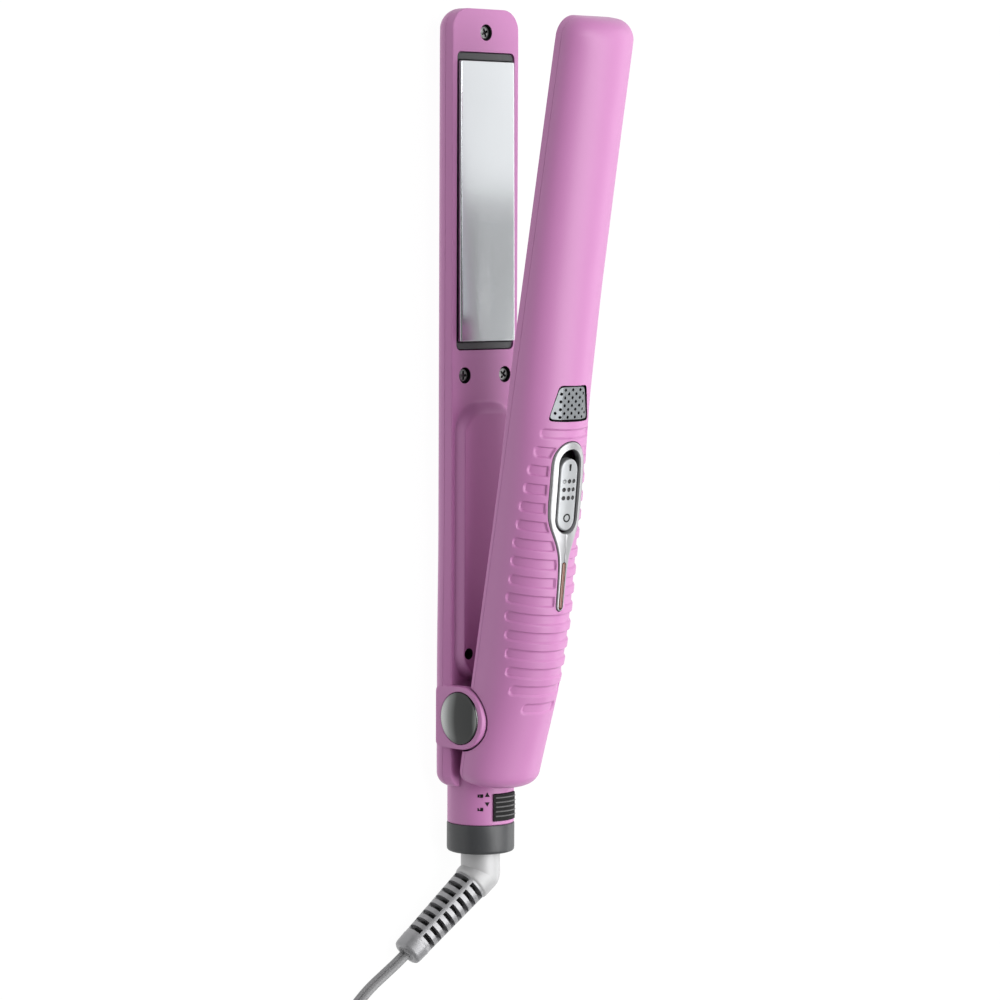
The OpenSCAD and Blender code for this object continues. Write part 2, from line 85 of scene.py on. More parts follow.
def finish(name, rgb, rough=0.5, metal=0.0, grain=400.0, vary=0.06, bump=0.02, coat=0.0,
           sheen=0.0, edge=0.0, rough_vary=0.08, transmission=0.0, spec=0.5):
    """Procedural surface: colour and roughness drift over noise, with a fine grain in the bump."""
    mat, nt, bsdf = nodes_of(name)
    coord = nt.nodes.new("ShaderNodeTexCoord")
    broad = nt.nodes.new("ShaderNodeTexNoise")
    broad.inputs["Scale"].default_value = 60
    broad.inputs["Detail"].default_value = 3
    fine = nt.nodes.new("ShaderNodeTexNoise")
    fine.inputs["Scale"].default_value = grain
    fine.inputs["Detail"].default_value = 4
    ramp = nt.nodes.new("ShaderNodeMix")
    ramp.data_type = "RGBA"
    dark = [c * (1 - vary) for c in rgb]
    light = [min(1, c * (1 + vary)) for c in rgb]
    ramp.inputs[6].default_value = (*dark, 1)
    ramp.inputs[7].default_value = (*light, 1)
    to_rough = nt.nodes.new("ShaderNodeMapRange")
    to_rough.inputs["To Min"].default_value = max(0.02, rough - rough_vary)
    to_rough.inputs["To Max"].default_value = min(1, rough + rough_vary)
    b = nt.nodes.new("ShaderNodeBump")
    b.inputs["Strength"].default_value = bump
    b.inputs["Distance"].default_value = 0.0002
    link = nt.links.new
    link(coord.outputs["Object"], broad.inputs["Vector"])
    link(coord.outputs["Object"], fine.inputs["Vector"])
    link(broad.outputs["Fac"], ramp.inputs[0])
    link(ramp.outputs[2], bsdf.inputs["Base Color"])
    link(fine.outputs["Fac"], to_rough.inputs["Value"])
    link(to_rough.outputs["Result"], bsdf.inputs["Roughness"])
    link(fine.outputs["Fac"], b.inputs["Height"])
    if edge:
        soft = nt.nodes.new("ShaderNodeBevel")
        soft.samples = 4
        soft.inputs["Radius"].default_value = edge * MM
        link(soft.outputs["Normal"], b.inputs["Normal"])
    link(b.outputs["Normal"], bsdf.inputs["Normal"])
    bsdf.inputs["Metallic"].default_value = metal
    bsdf.inputs["Coat Weight"].default_value = coat
    bsdf.inputs["Sheen Weight"].default_value = sheen
    bsdf.inputs["Transmission Weight"].default_value = transmission
    bsdf.inputs["Specular IOR Level"].default_value = spec
    return mat


ORCHID = finish("orchid_plastic", (0.50, 0.195, 0.42), 0.42, grain=900, vary=0.02, bump=0.03, edge=0.3,
                spec=0.45)
DARK = finish("dark_plastic", (0.016, 0.016, 0.017), 0.45, edge=0.15)
GREY = finish("carrier_plastic", (0.045, 0.047, 0.05), 0.5, edge=0.2)
COLLAR = finish("collar_plastic", (0.045, 0.047, 0.05), 0.42, grain=700, edge=0.2)
SILVER = finish("silver_plastic", (0.36, 0.36, 0.37), 0.36, metal=0.75, grain=1200)
BUTTON = finish("button_silver", (0.36, 0.37, 0.38), 0.42, metal=0.6, grain=1200)
VENT = finish("vent_silver", (0.19, 0.2, 0.21), 0.42, metal=0.8, grain=1200)
STEM = finish("stem_plastic", (0.47, 0.47, 0.475), 0.5, metal=0.25, grain=900)
RELIEF = finish("relief_plastic", (0.3, 0.3, 0.31), 0.36, metal=0.4, grain=700)
# Cap metal: its base colour carries a painted reflection, set by height below.
CAP_PAINTED_REFLECTION = finish("cap_metal", (0.42, 0.44, 0.43), 0.22, metal=1.0, grain=1500, vary=0.03)


def paint_cap_reflection():
    """Dished cap with a painted reflection: its base colour is bright towards the table and along its rim, deep
    grey in the middle.
    """
    nt = CAP_PAINTED_REFLECTION.node_tree
    bsdf = next(n for n in nt.nodes if n.type == "BSDF_PRINCIPLED")
    coord = nt.nodes.new("ShaderNodeTexCoord")
    split = nt.nodes.new("ShaderNodeSeparateXYZ")
    span = nt.nodes.new("ShaderNodeMapRange")
    span.inputs["From Min"].default_value = 0.009
    span.inputs["From Max"].default_value = 0.0265
    ramp = nt.nodes.new("ShaderNodeValToRGB")
    # Painted reflection: these grey levels by height stand in for what the polished cap mirrors.
    steps = ((0.0, 0.5), (0.1, 0.4), (0.27, 0.19), (0.46, 0.055), (0.86, 0.05), (0.93, 0.14), (1.0, 0.3))
    ramp.color_ramp.elements[0].position, ramp.color_ramp.elements[1].position = steps[0][0], steps[-1][0]
    for at, level in steps[1:-1]:
        ramp.color_ramp.elements.new(at)
    for element, (at, level) in zip(ramp.color_ramp.elements, steps):
        element.position = at
        element.color = (level * 0.98, level * 1.01, level, 1)
    nt.links.new(coord.outputs["Object"], split.inputs[0])
    nt.links.new(split.outputs["Z"], span.inputs["Value"])
    nt.links.new(span.outputs["Result"], ramp.inputs["Fac"])
    nt.links.new(ramp.outputs["Color"], bsdf.inputs["Base Color"])


paint_cap_reflection()
PLATE = finish("plate_metal", (0.62, 0.64, 0.66), 0.22, metal=1.0, grain=1600, vary=0.02, edge=0.2)
STEEL = finish("steel", (0.2, 0.2, 0.2), 0.4, metal=1.0)
BRASS = finish("brass", (0.55, 0.38, 0.12), 0.3, metal=1.0)
CERAMIC = finish("heater_ceramic", (0.62, 0.55, 0.44), 0.7)
MICA = finish("mica", (0.5, 0.42, 0.24), 0.4)
LENS = finish("amber_lens", (0.16, 0.035, 0.012), 0.16, coat=0.6, transmission=0.1)
BOARD = finish("board", (0.02, 0.16, 0.07), 0.45)
LEAD = finish("lead_insulation", (0.45, 0.04, 0.03), 0.5)
CORD = finish("cord_jacket", (0.24, 0.24, 0.245), 0.5, grain=800, vary=0.03, bump=0.005)
RIB = finish("rib_grey", (0.12, 0.12, 0.12), 0.5, spec=0.3)
PRINT = finish("print_black", (0.008, 0.008, 0.008), 0.6, spec=0.15)


# ---------------------------------------------------------------- mesh helpers (millimetres)
def smooth(t):
    t = np.clip(t, 0, 1)
    return t * t * (3 - 2 * t)


def loft(rings, caps=(True, True), closed=True):
    """Faces between rings of equal point count; the first and last are closed with a fan."""
    rings = np.asarray(rings, float)
    m, n = rings.shape[:2]
    verts = [tuple(p) for p in rings.reshape(-1, 3)]
    faces = []
    span = n if closed else n - 1
    for j in range(m - 1):
        for i in range(span):
            k = (i + 1) % n
            faces.append((j * n + i, j * n + k, (j + 1) * n + k, (j + 1) * n + i))
    for at, flip in ((0, True), (m - 1, False)):
        if not caps[0 if at == 0 else 1]:
            continue
        verts.append(tuple(rings[at].mean(0)))
        c = len(verts) - 1
        for i in range(n):
            k = (i + 1) % n
            f = (at * n + i, at * n + k, c)
            faces.append(f[::-1] if flip else f)
    return np.array(verts), faces


def merge(*parts):
    verts, faces, base = [], [], 0
    for v, f in parts:
        verts.append(np.asarray(v, float))
        faces += [tuple(i + base for i in q) for q in f]
        base += len(v)
    return np.concatenate(verts), faces


def moved(part, fn):
    return fn(np.asarray(part[0], float)), part[1]


def flipped(part, axis=1):
    """Mirror image, with its faces turned back the right way out."""
    v = np.array(part[0], float)
    v[:, axis] *= -1
    return v, [tuple(reversed(f)) for f in part[1]]


def lathe(profile, steps=48, along="x", at=(0, 0, 0)):
    """Solid of revolution from (distance along the axis, radius) pairs, closed at both ends."""
    a = np.linspace(0, 2 * math.pi, steps, endpoint=False)
    rings = []
    for t, r in profile:
        c, s = r * np.cos(a), r * np.sin(a)
        full = np.full_like(a, t)
        order = {"x": (full, c, s), "y": (s, full, c), "z": (c, s, full)}[along]
        rings.append(np.stack(order, -1))
    v, f = loft(rings)
    return v + np.array(at, float), f


def rounded(x0, x1, y0, y1, r, steps=6):
    """Outline of a rounded rectangle, anticlockwise."""
    pts = []
    r = min(r, (x1 - x0) / 2 - 1e-4, (y1 - y0) / 2 - 1e-4)
    for cx, cy, a0 in ((x1 - r, y1 - r, 0), (x0 + r, y1 - r, 90), (x0 + r, y0 + r, 180), (x1 - r, y0 + r, 270)):
        for k in range(steps + 1):
            a = math.radians(a0 + 90 * k / steps)
            pts.append((cx + r * math.cos(a), cy + r * math.sin(a)))
    return np.array(pts)


def block(x0, x1, y0, y1, z0, z1, r=1.0, edge=0.3, steps=6):
    """Box with rounded corners in plan and rounded top and bottom edges."""
    rings = []
    for z, inset in edge_steps(z0, z1, edge):
        p = rounded(x0 + inset, x1 - inset, y0 + inset, y1 - inset, max(r - inset, 0.02), steps)
        rings.append(np.column_stack([p, np.full(len(p), z)]))
    return loft(rings)


def edge_steps(z0, z1, edge, n=4):
    """(height, inset) pairs that round a slab's bottom and top edges."""
    angles = [math.pi / 2 * k / n for k in range(n + 1)]
    low = [(z0 + edge * (1 - math.sin(a)), edge * (1 - math.cos(a))) for a in reversed(angles)]
    high = [(z1 - edge * (1 - math.sin(a)), edge * (1 - math.cos(a))) for a in angles]
    return low + high


def prism(outline, z0, z1):
    p = np.asarray(outline, float)
    return loft([np.column_stack([p, np.full(len(p), z)]) for z in (z0, z1)])


def tube(path, section, turn=None):
    """Sweep of a closed (across, up) section along a path that lies mostly level, turned about it."""
    path = np.asarray(path, float)
    d = np.gradient(path, axis=0)
    d /= np.linalg.norm(d, axis=1)[:, None]
    s = np.cross([0, 0, 1.0], d)
    s /= np.linalg.norm(s, axis=1)[:, None]
    u = np.cross(d, s)
    if turn is not None:
        c, q = np.cos(turn)[:, None], np.sin(turn)[:, None]
        s, u = c * s + q * u, c * u - q * s
    sec = np.asarray(section, float)
    return loft(path[:, None] + s[:, None] * sec[None, :, :1] + u[:, None] * sec[None, :, 1:])


def as_object(name, part, mat, sharp=35):
    verts, faces = part
    me = bpy.data.meshes.new(name)
    me.from_pydata([tuple(v) for v in np.asarray(verts) * MM], [], faces)
    me.validate()
    bm = bmesh.new()
    bm.from_mesh(me)
    bmesh.ops.recalc_face_normals(bm, faces=bm.faces)
    bm.to_mesh(me)
    bm.free()
    me.polygons.foreach_set("use_smooth", [True] * len(me.polygons))
    me.set_sharp_from_angle(angle=math.radians(sharp))
    me.materials.append(mat)
    ob = bpy.data.objects.new(name, me)
    bpy.context.scene.collection.objects.link(ob)
    return ob


def combine(ob, cutters, how="DIFFERENCE", sharp=35):
    """Boolean of ob with each cutter in turn; the cutters are used up."""
    for part in cutters:
        tool = as_object("tool", part, DARK)
        mod = ob.modifiers.new("cut", "BOOLEAN")
        mod.operation = how
        mod.solver = "MANIFOLD"
        mod.object = tool
        bpy.context.view_layer.update()
        me = bpy.data.meshes.new_from_object(ob.evaluated_get(bpy.context.evaluated_depsgraph_get()))
        if len(me.polygons) < 4:
            mod.solver = "EXACT"
            bpy.context.view_layer.update()
            me = bpy.data.meshes.new_from_object(ob.evaluated_get(bpy.context.evaluated_depsgraph_get()))
        ob.modifiers.clear()
        ob.data = me
        bpy.data.objects.remove(tool)
    me = ob.data
    me.polygons.foreach_set("use_smooth", [True] * len(me.polygons))
    me.set_sharp_from_angle(angle=math.radians(sharp))
    return ob


def put(ob, body, *nodes):
    """Ride a body and stand for these CAD nodes, which are hidden."""
    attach(ob, body)
    if nodes:
        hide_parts(*nodes)
    return ob


# ---------------------------------------------------------------- sizes shared with the CAD
HALF_W, LOWER_H, SIDE_H, SEAM = 15.3, 12.5, 2.9, 9.6
TIP_X, REAR_X, UPPER_REAR = -140.2, 117.6, 115.5
PIVOT = np.array([93.7, 0, 17.7])
OPEN = math.radians(10.3)
INNER_Z = 18.4
WIN0, WIN1, WIN_HW = -126.0, -27.7, 13.3
NECK_Z, NECK_R, NECK_X1 = 11.3, 11.2, 130.3
ELBOW = np.array([147.9, 0, NECK_Z])
BACK = np.array([[-140.2, 12.4], [-100, 12.9], [-52, 13.9], [-16, 15.8], [8, 18.8],
                 [32, 20.6], [56, 22.3], [72, 22.0], [90, 19.6], [106, 17.2], [115.5, 16.2]])
EDGE = np.array([[-140.2, 0.3], [-30, 0.4], [10, 1.6], [60, 2.1], [100, 3.0], [115.5, 4.0]])


def eased(table, x):
    """Table lookup with its corners rounded off."""
    x = np.asarray(x, float)
    offs = np.linspace(-9, 9, 13)
    w = np.cos(offs / 9 * math.pi / 2) ** 2 + 1e-3
    xs = np.clip(x[..., None] + offs, table[0, 0], table[-1, 0])
    near = np.interp(xs, table[:, 0], table[:, 1])
    return (near * w).sum(-1) / w.sum()


def back_h(x):
    return eased(BACK, x)


def side_at(x):
    return SIDE_H + 0.4 * (back_h(x) - BACK[0, 1])


def draw_in(d, r):
    d = np.clip(d, 0, r)
    return r - np.sqrt(np.maximum(r * r - (r - d) ** 2, 0))


def opened(v):
    """The upper arm's own frame (z = 0 on its inner face) to where it stands open."""
    v = np.array(v, float)
    v[:, 2] += INNER_Z
    v -= PIVOT
    c, s = math.cos(OPEN), math.sin(OPEN)
    x, z = v[:, 0].copy(), v[:, 2].copy()
    v[:, 0] = c * x + s * z
    v[:, 2] = -s * x + c * z
    return v + PIVOT


def turned_over(v):
    """The lower arm's head: depth below its inner face becomes height."""
    v = np.array(v, float)
    v[:, 2] = LOWER_H - v[:, 2]
    return v


def along_relief(v):
    """z along the strain relief, out of the elbow."""
    m = (Matrix.Rotation(math.radians(11), 3, "X") @ Matrix.Rotation(math.radians(-50.5), 3, "Z")
         @ Matrix.Rotation(math.radians(90), 3, "Y"))
    return np.asarray(v, float) @ np.array(m).T + ELBOW


def station_list(x0, x1, r0, r1, mids):
    a = np.radians(np.arange(0, 90, 7.5))
    return np.concatenate([x0 + r0 * (1 - np.cos(a)), mids, x1 - r1 * (1 - np.cos(a[::-1]))])


# ---------------------------------------------------------------- cord, first of the pieces
CORD_LEN = 1800.0
HANK_Y, HANK_X0, COL_OUT, COL_IN, LAYER0, LAYER = -43.0, 212.0, 17.3, 12.9, 1.65, 2.3
PLUG_Y, TAIL_X = 8.0, 232.0


def even(p, step):
    s = np.concatenate([[0], np.cumsum(np.linalg.norm(np.diff(p, axis=0), axis=1))])
    n = max(2, int(round(s[-1] / step)))
    t = np.linspace(0, s[-1], n + 1)
    return np.column_stack([np.interp(t, s, p[:, k]) for k in range(3)])


def length_of(p):
    return np.linalg.norm(np.diff(p, axis=0), axis=1).sum()


def cord_line(run):
    """Out of the sleeve, down to the table, round a flat hank, and back to the plug."""
    pts = [[172.4, -29.2, 5.6], [174.5, -31.7, 5.1], [178.4, -37.2, 4.0], [182.3, -43, 3.1],
           [186.6, -48, 2.5], [191.5, -52.3, 2.1], [197, -55.8, 1.8], [203.5, -58.6, 1.7], [209, -59.95, 1.65]]
    o, i = COL_OUT, COL_IN
    loops = [(o, 0), (i, 0), (i, 1), (o, 1), (o, 2), (i, 2), (o, 3)]
    x1 = HANK_X0 + run
    line = [np.array(pts)]
    for k, (r, layer) in enumerate(loops):
        z = LAYER0 + layer * LAYER
        xs = np.linspace(HANK_X0, x1, 20)
        sway = 0.25 * np.sin((xs - HANK_X0) / run * math.pi)
        line.append(np.column_stack([xs, HANK_Y - r + sway, np.full(20, z)]))
        a = np.linspace(-90, 90, 25)[1:-1]
        line.append(np.column_stack([x1 + r * np.cos(np.radians(a)), HANK_Y + r * np.sin(np.radians(a)),
                                     np.full(len(a), z)]))
        last = k == len(loops) - 1
        x_end = 236 if last else HANK_X0
        xs = np.linspace(x1, x_end, 20)
        line.append(np.column_stack([xs, HANK_Y + r - 0.25 * np.sin((xs - HANK_X0) / run * math.pi),
                                     np.full(20, z)]))
        if last:
            break
        r2, l2 = loops[k + 1]
        z2 = LAYER0 + l2 * LAYER
        t = np.linspace(0, 1, 25)[1:-1]
        a = np.radians(90 + 180 * t)
        out_t = smooth(t * 2 - 1) if z2 != z and r2 != r else smooth(t)
        rr = r + (r2 - r) * out_t
        zz = z + (z2 - z) * smooth(t * 1.8)
        line.append(np.column_stack([HANK_X0 + rr * np.cos(a), HANK_Y + rr * np.sin(a), zz]))
    # off the top of the hank, round, and into the plug
    y0, turn = HANK_Y + o, (PLUG_Y - HANK_Y - o) / 2
    cx = 214.5
    z_top = LAYER0 + 3 * LAYER
    line.append(np.array([[230, y0, z_top], [224, y0, z_top - 0.4], [219, y0, z_top - 1.0]]))
    t = np.linspace(0, 1, 22)
    a = np.radians(-90 - 180 * t)
    line.append(np.column_stack([cx + turn * np.cos(a), y0 + turn + turn * np.sin(a),
                                 z_top - 1.2 - (z_top - 1.2 - 2.6) * smooth(t)]))
    line.append(np.array([[220, PLUG_Y, 2.9], [226, PLUG_Y, 3.9], [TAIL_X + 1, PLUG_Y, 4.7]]))
    p = even(np.concatenate(line), 1.2)
    for _ in range(6):
        p[1:-1] = 0.25 * p[:-2] + 0.5 * p[1:-1] + 0.25 * p[2:]
    return p


def solve_run():
    lo, hi = 40.0, 90.0
    for _ in range(30):
        mid = (lo + hi) / 2
        if length_of(cord_line(mid)) > CORD_LEN:
            hi = mid
        else:
            lo = mid
    return lo


HANK_RUN = solve_run()
cord_path = cord_line(HANK_RUN)


def cord_section():
    """Two round cores side by side with a shallow valley between them."""
    pts = []
    for a in np.linspace(0, 2 * math.pi, 20, endpoint=False):
        y = 2.1 * math.cos(a)
        lobe = 1.1 * math.sqrt(max(0, 1 - ((abs(y) - 1.0) / 1.1) ** 2))
        pts.append((y, math.copysign(max(lobe, 0.02), math.sin(a)) if abs(math.sin(a)) > 1e-6 else 0))
    return pts


cord_line_mm = even(cord_path, 1.0)
steps_in = np.arange(len(cord_line_mm)) * 1.0
cord_turn = np.radians(78) * (1 - smooth((steps_in - 24) / 24))
cord_mesh = as_object("cord", tube(cord_line_mm, cord_section(), cord_turn), CORD, sharp=60)
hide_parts("power_cord", "cord_hank")


# ---------------------------------------------------------------- plug and tie
def plug():
    """Flat two-blade plug with finger grips and a ribbed tail."""
    ribs = []
    for x, hw, z0, z1 in ((232, 2.9, 2.2, 7.3), (236, 3.6, 1.6, 8.0), (240, 4.2, 0.9, 8.8), (246, 4.9, 0.4, 9.6)):
        ribs.append((x, hw, z0, z1))
    rings = []
    for (x, hw, z0, z1) in ribs:
        p = rounded(-hw, hw, z0, z1, 1.6, 5)
        rings.append(np.column_stack([np.full(len(p), x), PLUG_Y + p[:, 0], p[:, 1]]))
    tail = loft(rings)
    grooves = []
    for x in (234, 237.5, 241):
        grooves.append(block(x - 0.5, x + 0.5, PLUG_Y - 6, PLUG_Y + 6, -1, 2.0 + (x - 234) * -0.09, 0.2, 0.1, 2))
        grooves.append(block(x - 0.5, x + 0.5, PLUG_Y - 6, PLUG_Y + 6, 7.3 + (x - 234) * 0.2, 12, 0.2, 0.1, 2))
    rings = []
    for x, hw, h in ((243.5, 5.2, 4.6), (244.2, 6.4, 5.0), (246.5, 8.0, 5.3), (250, 8.6, 5.4), (254, 8.5, 5.4),
                     (257.5, 9.6, 5.45), (260, 10.8, 5.5), (261.4, 10.9, 5.4), (262, 10.4, 4.9)):
        p = rounded(-hw, hw, 5.5 - h, 5.5 + h, 2.6, 6)
        rings.append(np.column_stack([np.full(len(p), x), PLUG_Y + p[:, 0], p[:, 1]]))
    body = as_object("plug", merge(loft(rings)), GREY)
    tail_ob = as_object("plug_tail", tail, GREY)
    combine(tail_ob, grooves)
    blades = []
    for y in (-6.35, 6.35):
        p = [(261.5, 2.3), (278.2, 2.3), (279.5, 3.4), (279.5, 7.6), (278.2, 8.7), (261.5, 8.7)]
        v, f = prism(p, PLUG_Y + y - 0.75, PLUG_Y + y + 0.75)
        blades.append((v[:, [0, 2, 1]], f))
    blade_ob = as_object("plug_contacts", merge(*blades), BRASS)
    combine(blade_ob, [lathe([(PLUG_Y - 9, 1.3), (PLUG_Y + 9, 1.3)], 20, "y", (274, 0, 5.5))])
    put(body, "lower_arm", "plug_body")
    put(tail_ob, "lower_arm")
    put(blade_ob, "lower_arm", "plug_blades")
    return [body, tail_ob, blade_ob]


def tie():
    """Strap round the hank, with its end folded over."""
    mid = HANK_X0 + HANK_RUN / 2
    y0, y1, z0, z1 = HANK_Y - 19.9, HANK_Y + 19.9, 0.0, 10.2
    parts = []
    for inset, (xa, xb) in ((0.0, (mid - 5, mid + 5)),):
        outer = rounded(y0, y1, z0, z1, 3.2, 6)
        inner = rounded(y0 + 0.5, y1 - 0.5, z0 + 0.45, z1 - 0.5, 2.7, 6)
        rings = []
        for x, line in ((xa, inner), (xa, outer * 0.999 + 0.001 * inner), (xa + 0.15, outer), (xb - 0.15, outer),
                        (xb, outer * 0.999 + 0.001 * inner), (xb, inner), (xa, inner)):
            rings.append(np.column_stack([np.full(len(line), x), line]))
        parts.append(loft(rings, (False, False)))
    flap = block(mid - 5.0, mid + 5.0, HANK_Y - 9, HANK_Y + 6, 10.1, 10.75, 1.2, 0.15)
    return put(as_object("strap", merge(*parts, flap), DARK), "lower_arm", "cord_tie")


plug_pieces = plug()
tie_piece = tie()


# ---------------------------------------------------------------- arms



def open_ring(w, s, h, seam, n, bead=0.07):
    """Dome above the seam, from +Y round to -Y, with a fine groove where it meets the cover."""
    pts = [(w - bead, seam), (w, seam + bead)]
    if s > seam + bead + 0.1:
        pts += [(w, seam + bead + (s - seam - bead) * k / 3) for k in (1, 2)]
    else:
        pts += [(w, seam + bead + 0.03 * k) for k in (1, 2)]
    low = max(s, seam + bead + 0.1)
    for a in np.radians(np.linspace(0, 180, n)):
        pts.append((w * math.cos(a), low + (s + h - low) * math.sin(a)))
    right = pts[:4]
    pts += [(-y, z) for y, z in reversed(right)]
    return pts


def shell(xs, reach, height, side, seam, wall, n_out, n_in, dent=None):
    """Outside of a D-section arm above its seam, and the hollow to cut from it."""
    outer, inner = [], []
    for x in xs:
        q = reach(x, 0)
        w, s, top = HALF_W - q, side(x), height(x) - q
        outer.append([(x, y, z) for y, z in open_ring(w, s, top - s, seam, n_out)])
        xi = min(max(x, xs[0] + wall), xs[-1] - wall)
        q = reach(xi, wall)
        w, top = HALF_W - wall - q, height(xi) - wall - q
        a = np.radians(np.linspace(0, 180, n_in))
        base = max(seam, min(s, top - 0.5))
        ring = [(xi, w, seam - 3)] + [(xi, w * math.cos(t), base + (top - base) * math.sin(t)) for t in a]
        inner.append(ring + [(xi, -w, seam - 3)])
    outer = np.array(outer)
    keep = [0] + [j for j in range(1, len(xs)) if inner[j][0][0] > inner[j - 1][0][0] + 1e-6]
    if dent is not None:
        outer = dent(outer)
    return loft(outer), loft(np.array(inner)[keep])


def upper_reach(x, t):
    x0, x1, r0, r1 = TIP_X + t, UPPER_REAR - t, 7.0 - t, 5.0 - t
    return float(max(draw_in(x - x0, r0), draw_in(x1 - x, r1)))


def lower_reach(x, t):
    x0, x1, r0, r1 = TIP_X + t, REAR_X - t, 7.0 - t, 5.0 - t
    return float(max(draw_in(x - x0, r0), draw_in(x1 - x, r1)))


# Teardrop outline of the switch's bezel: half-width along the arm
DROP = np.array([[-3.6, 0.0], [-3.45, 1.6], [-2.9, 3.1], [-1.9, 4.6], [-0.4, 5.9], [1.4, 6.8], [3.6, 7.25],
                 [8, 7.35], [18, 7.35], [21.5, 7.1], [24.5, 6.3], [27.5, 4.9], [30.5, 3.5], [33.5, 2.5],
                 [37, 1.95], [42, 1.7], [48, 1.6], [50.8, 1.55], [51.9, 1.1], [52.3, 0.0]])
GRIP_X0, GRIP_PITCH = -5.94, 6.13
GRIP_END = [11.1, 12.3, 13.3, 13.7, 14.15, 14.3, 14.5, 14.5, 14.5, 14.6, 14.5, 14.2, 13.8, 13.2, 11.8, 7.4]


def drop_hw(x):
    return np.interp(x, DROP[:, 0], DROP[:, 1], left=-5, right=-5)


def grip_dent(rings):
    """Sixteen shallow finger grooves across the handle, stopping short of the bezel."""
    out = rings.copy()
    for j in range(len(rings)):
        x = rings[j, 0, 0]
        k = int(round((x - GRIP_X0) / GRIP_PITCH))
        if not 0 <= k < len(GRIP_END):
            continue
        half = 1.75 if k else 1.5
        dx = abs(x - (GRIP_X0 + k * GRIP_PITCH))
        if dx > half + 0.6:
            continue
        y, z = rings[j, :, 1], rings[j, :, 2]
        step = np.hypot(np.diff(y), np.diff(z))
        run = np.concatenate([[0], np.cumsum(step)])
        mid = run[len(run) // 2] if len(run) % 2 else (run[len(run) // 2] + run[len(run) // 2 - 1]) / 2
        along = np.abs(run - mid)
        top = along[: len(y) // 2]
        reach = float(np.interp(-GRIP_END[k], -np.abs(y[: len(y) // 2]), top))
        r = half * 0.85
        d = np.hypot(max(dx - (half - r), 0), np.maximum(along - (reach - r), 0)) - r
        d = np.maximum(d, max(dx - half, -9))
        if -4.5 < x < 53.2:
            edge = max(drop_hw(np.clip(x, -3.6, 52.3)), 0) + 1.0
            d = np.maximum(d, edge - np.abs(y))
        depth = 0.65 * smooth((0.12 - d) / 0.45)
        ny, nz = y / 15.3, np.maximum(z - 4, 0) / 17
        size = np.hypot(ny, nz) + 1e-6
        out[j, :, 1] -= depth * ny / size
        out[j, :, 2] -= depth * nz / size
    return out


def make_upper_shell():
    mids = np.concatenate([np.arange(-131, -20, 3.0), np.arange(-19, -8.4, 0.8), np.arange(-8.1, 89.2, 0.36),
                           np.arange(90, 110.2, 1.2)])
    xs = station_list(TIP_X, UPPER_REAR, 7.0, 5.0, mids)
    part, hollow = shell(xs, upper_reach, lambda x: float(back_h(x)), lambda x: float(side_at(x)), SIDE_H, 2.0,
                         121, 41, grip_dent)
    ob = as_object("upper_back", moved(part, opened), ORCHID, sharp=32)
    cuts = [hollow]
    for s in (-1, 1):
        cuts.append(lathe([(s * 12.85, 11.1), (s * 22, 11.1)][::s], 72, "y",
                          (PIVOT[0], 0, PIVOT[2] - INNER_Z)))
    cuts.append(prism(vent_outline(0.35), 6, 30))
    cuts.append(prism(drop_ring(-0.22), 11, 30))
    cuts.append(block(110, 122, -3.4, 3.4, 1, 8.6, 1.0, 0.3))
    combine(ob, [moved(c, opened) for c in cuts], sharp=32)
    return put(ob, "upper_arm", "upper_shell")


def vent_outline(grow):
    """Rounded trapezoid, wider towards the handle."""
    corners = [(-21.5 - grow, 5.9 + grow), (-10.4 + grow, 8.9 + grow)]
    (xa, ha), (xb, hb) = corners
    poly = [(xa, -ha), (xb, -hb), (xb, hb), (xa, ha)]
    out = []
    n = len(poly)
    for i in range(n):
        p, q, r = np.array(poly[i - 1]), np.array(poly[i]), np.array(poly[(i + 1) % n])
        a, b = q + (p - q) / np.linalg.norm(p - q) * 1.6, q + (r - q) / np.linalg.norm(r - q) * 1.6
        for t in np.linspace(0, 1, 6):
            out.append((1 - t) ** 2 * a + 2 * t * (1 - t) * q + t * t * b)
    return np.array(out)


def drop_outline(grow, n=140):
    """Outline of the bezel, offset outwards by grow, anticlockwise."""
    x = np.concatenate([[-3.6], -3.6 + 55.9 * (0.5 - 0.5 * np.cos(np.linspace(0, math.pi, n)))[1:-1], [52.3]])
    hw = np.interp(x, DROP[:, 0], DROP[:, 1])
    up = np.column_stack([x, hw])
    for _ in range(3):
        up[1:-1] = 0.25 * up[:-2] + 0.5 * up[1:-1] + 0.25 * up[2:]
    ring = np.concatenate([up, (up * [1, -1])[::-1][1:-1]])[::-1]
    d = np.roll(ring, -1, 0) - np.roll(ring, 1, 0)
    nrm = np.column_stack([d[:, 1], -d[:, 0]])
    nrm /= np.linalg.norm(nrm, axis=1)[:, None] + 1e-9
    return ring + nrm * grow


def drop_ring(inset, least=0.06):
    """The bezel's outline drawn in towards its spine."""
    edge = drop_outline(0.0)
    spine = np.column_stack([np.clip(edge[:, 0], 3.7, 50.9), np.zeros(len(edge))])
    away = edge - spine
    dist = np.maximum(np.linalg.norm(away, axis=1), 1e-6)
    return spine + away * (np.maximum(dist - inset, dist * least) / dist)[:, None]


def dome_z(x, y):
    """Height of the upper arm's back above its inner face."""
    s, h = side_at(x), back_h(x)
    return s + (h - s) * np.sqrt(np.maximum(1 - (np.asarray(y) / HALF_W) ** 2, 0))


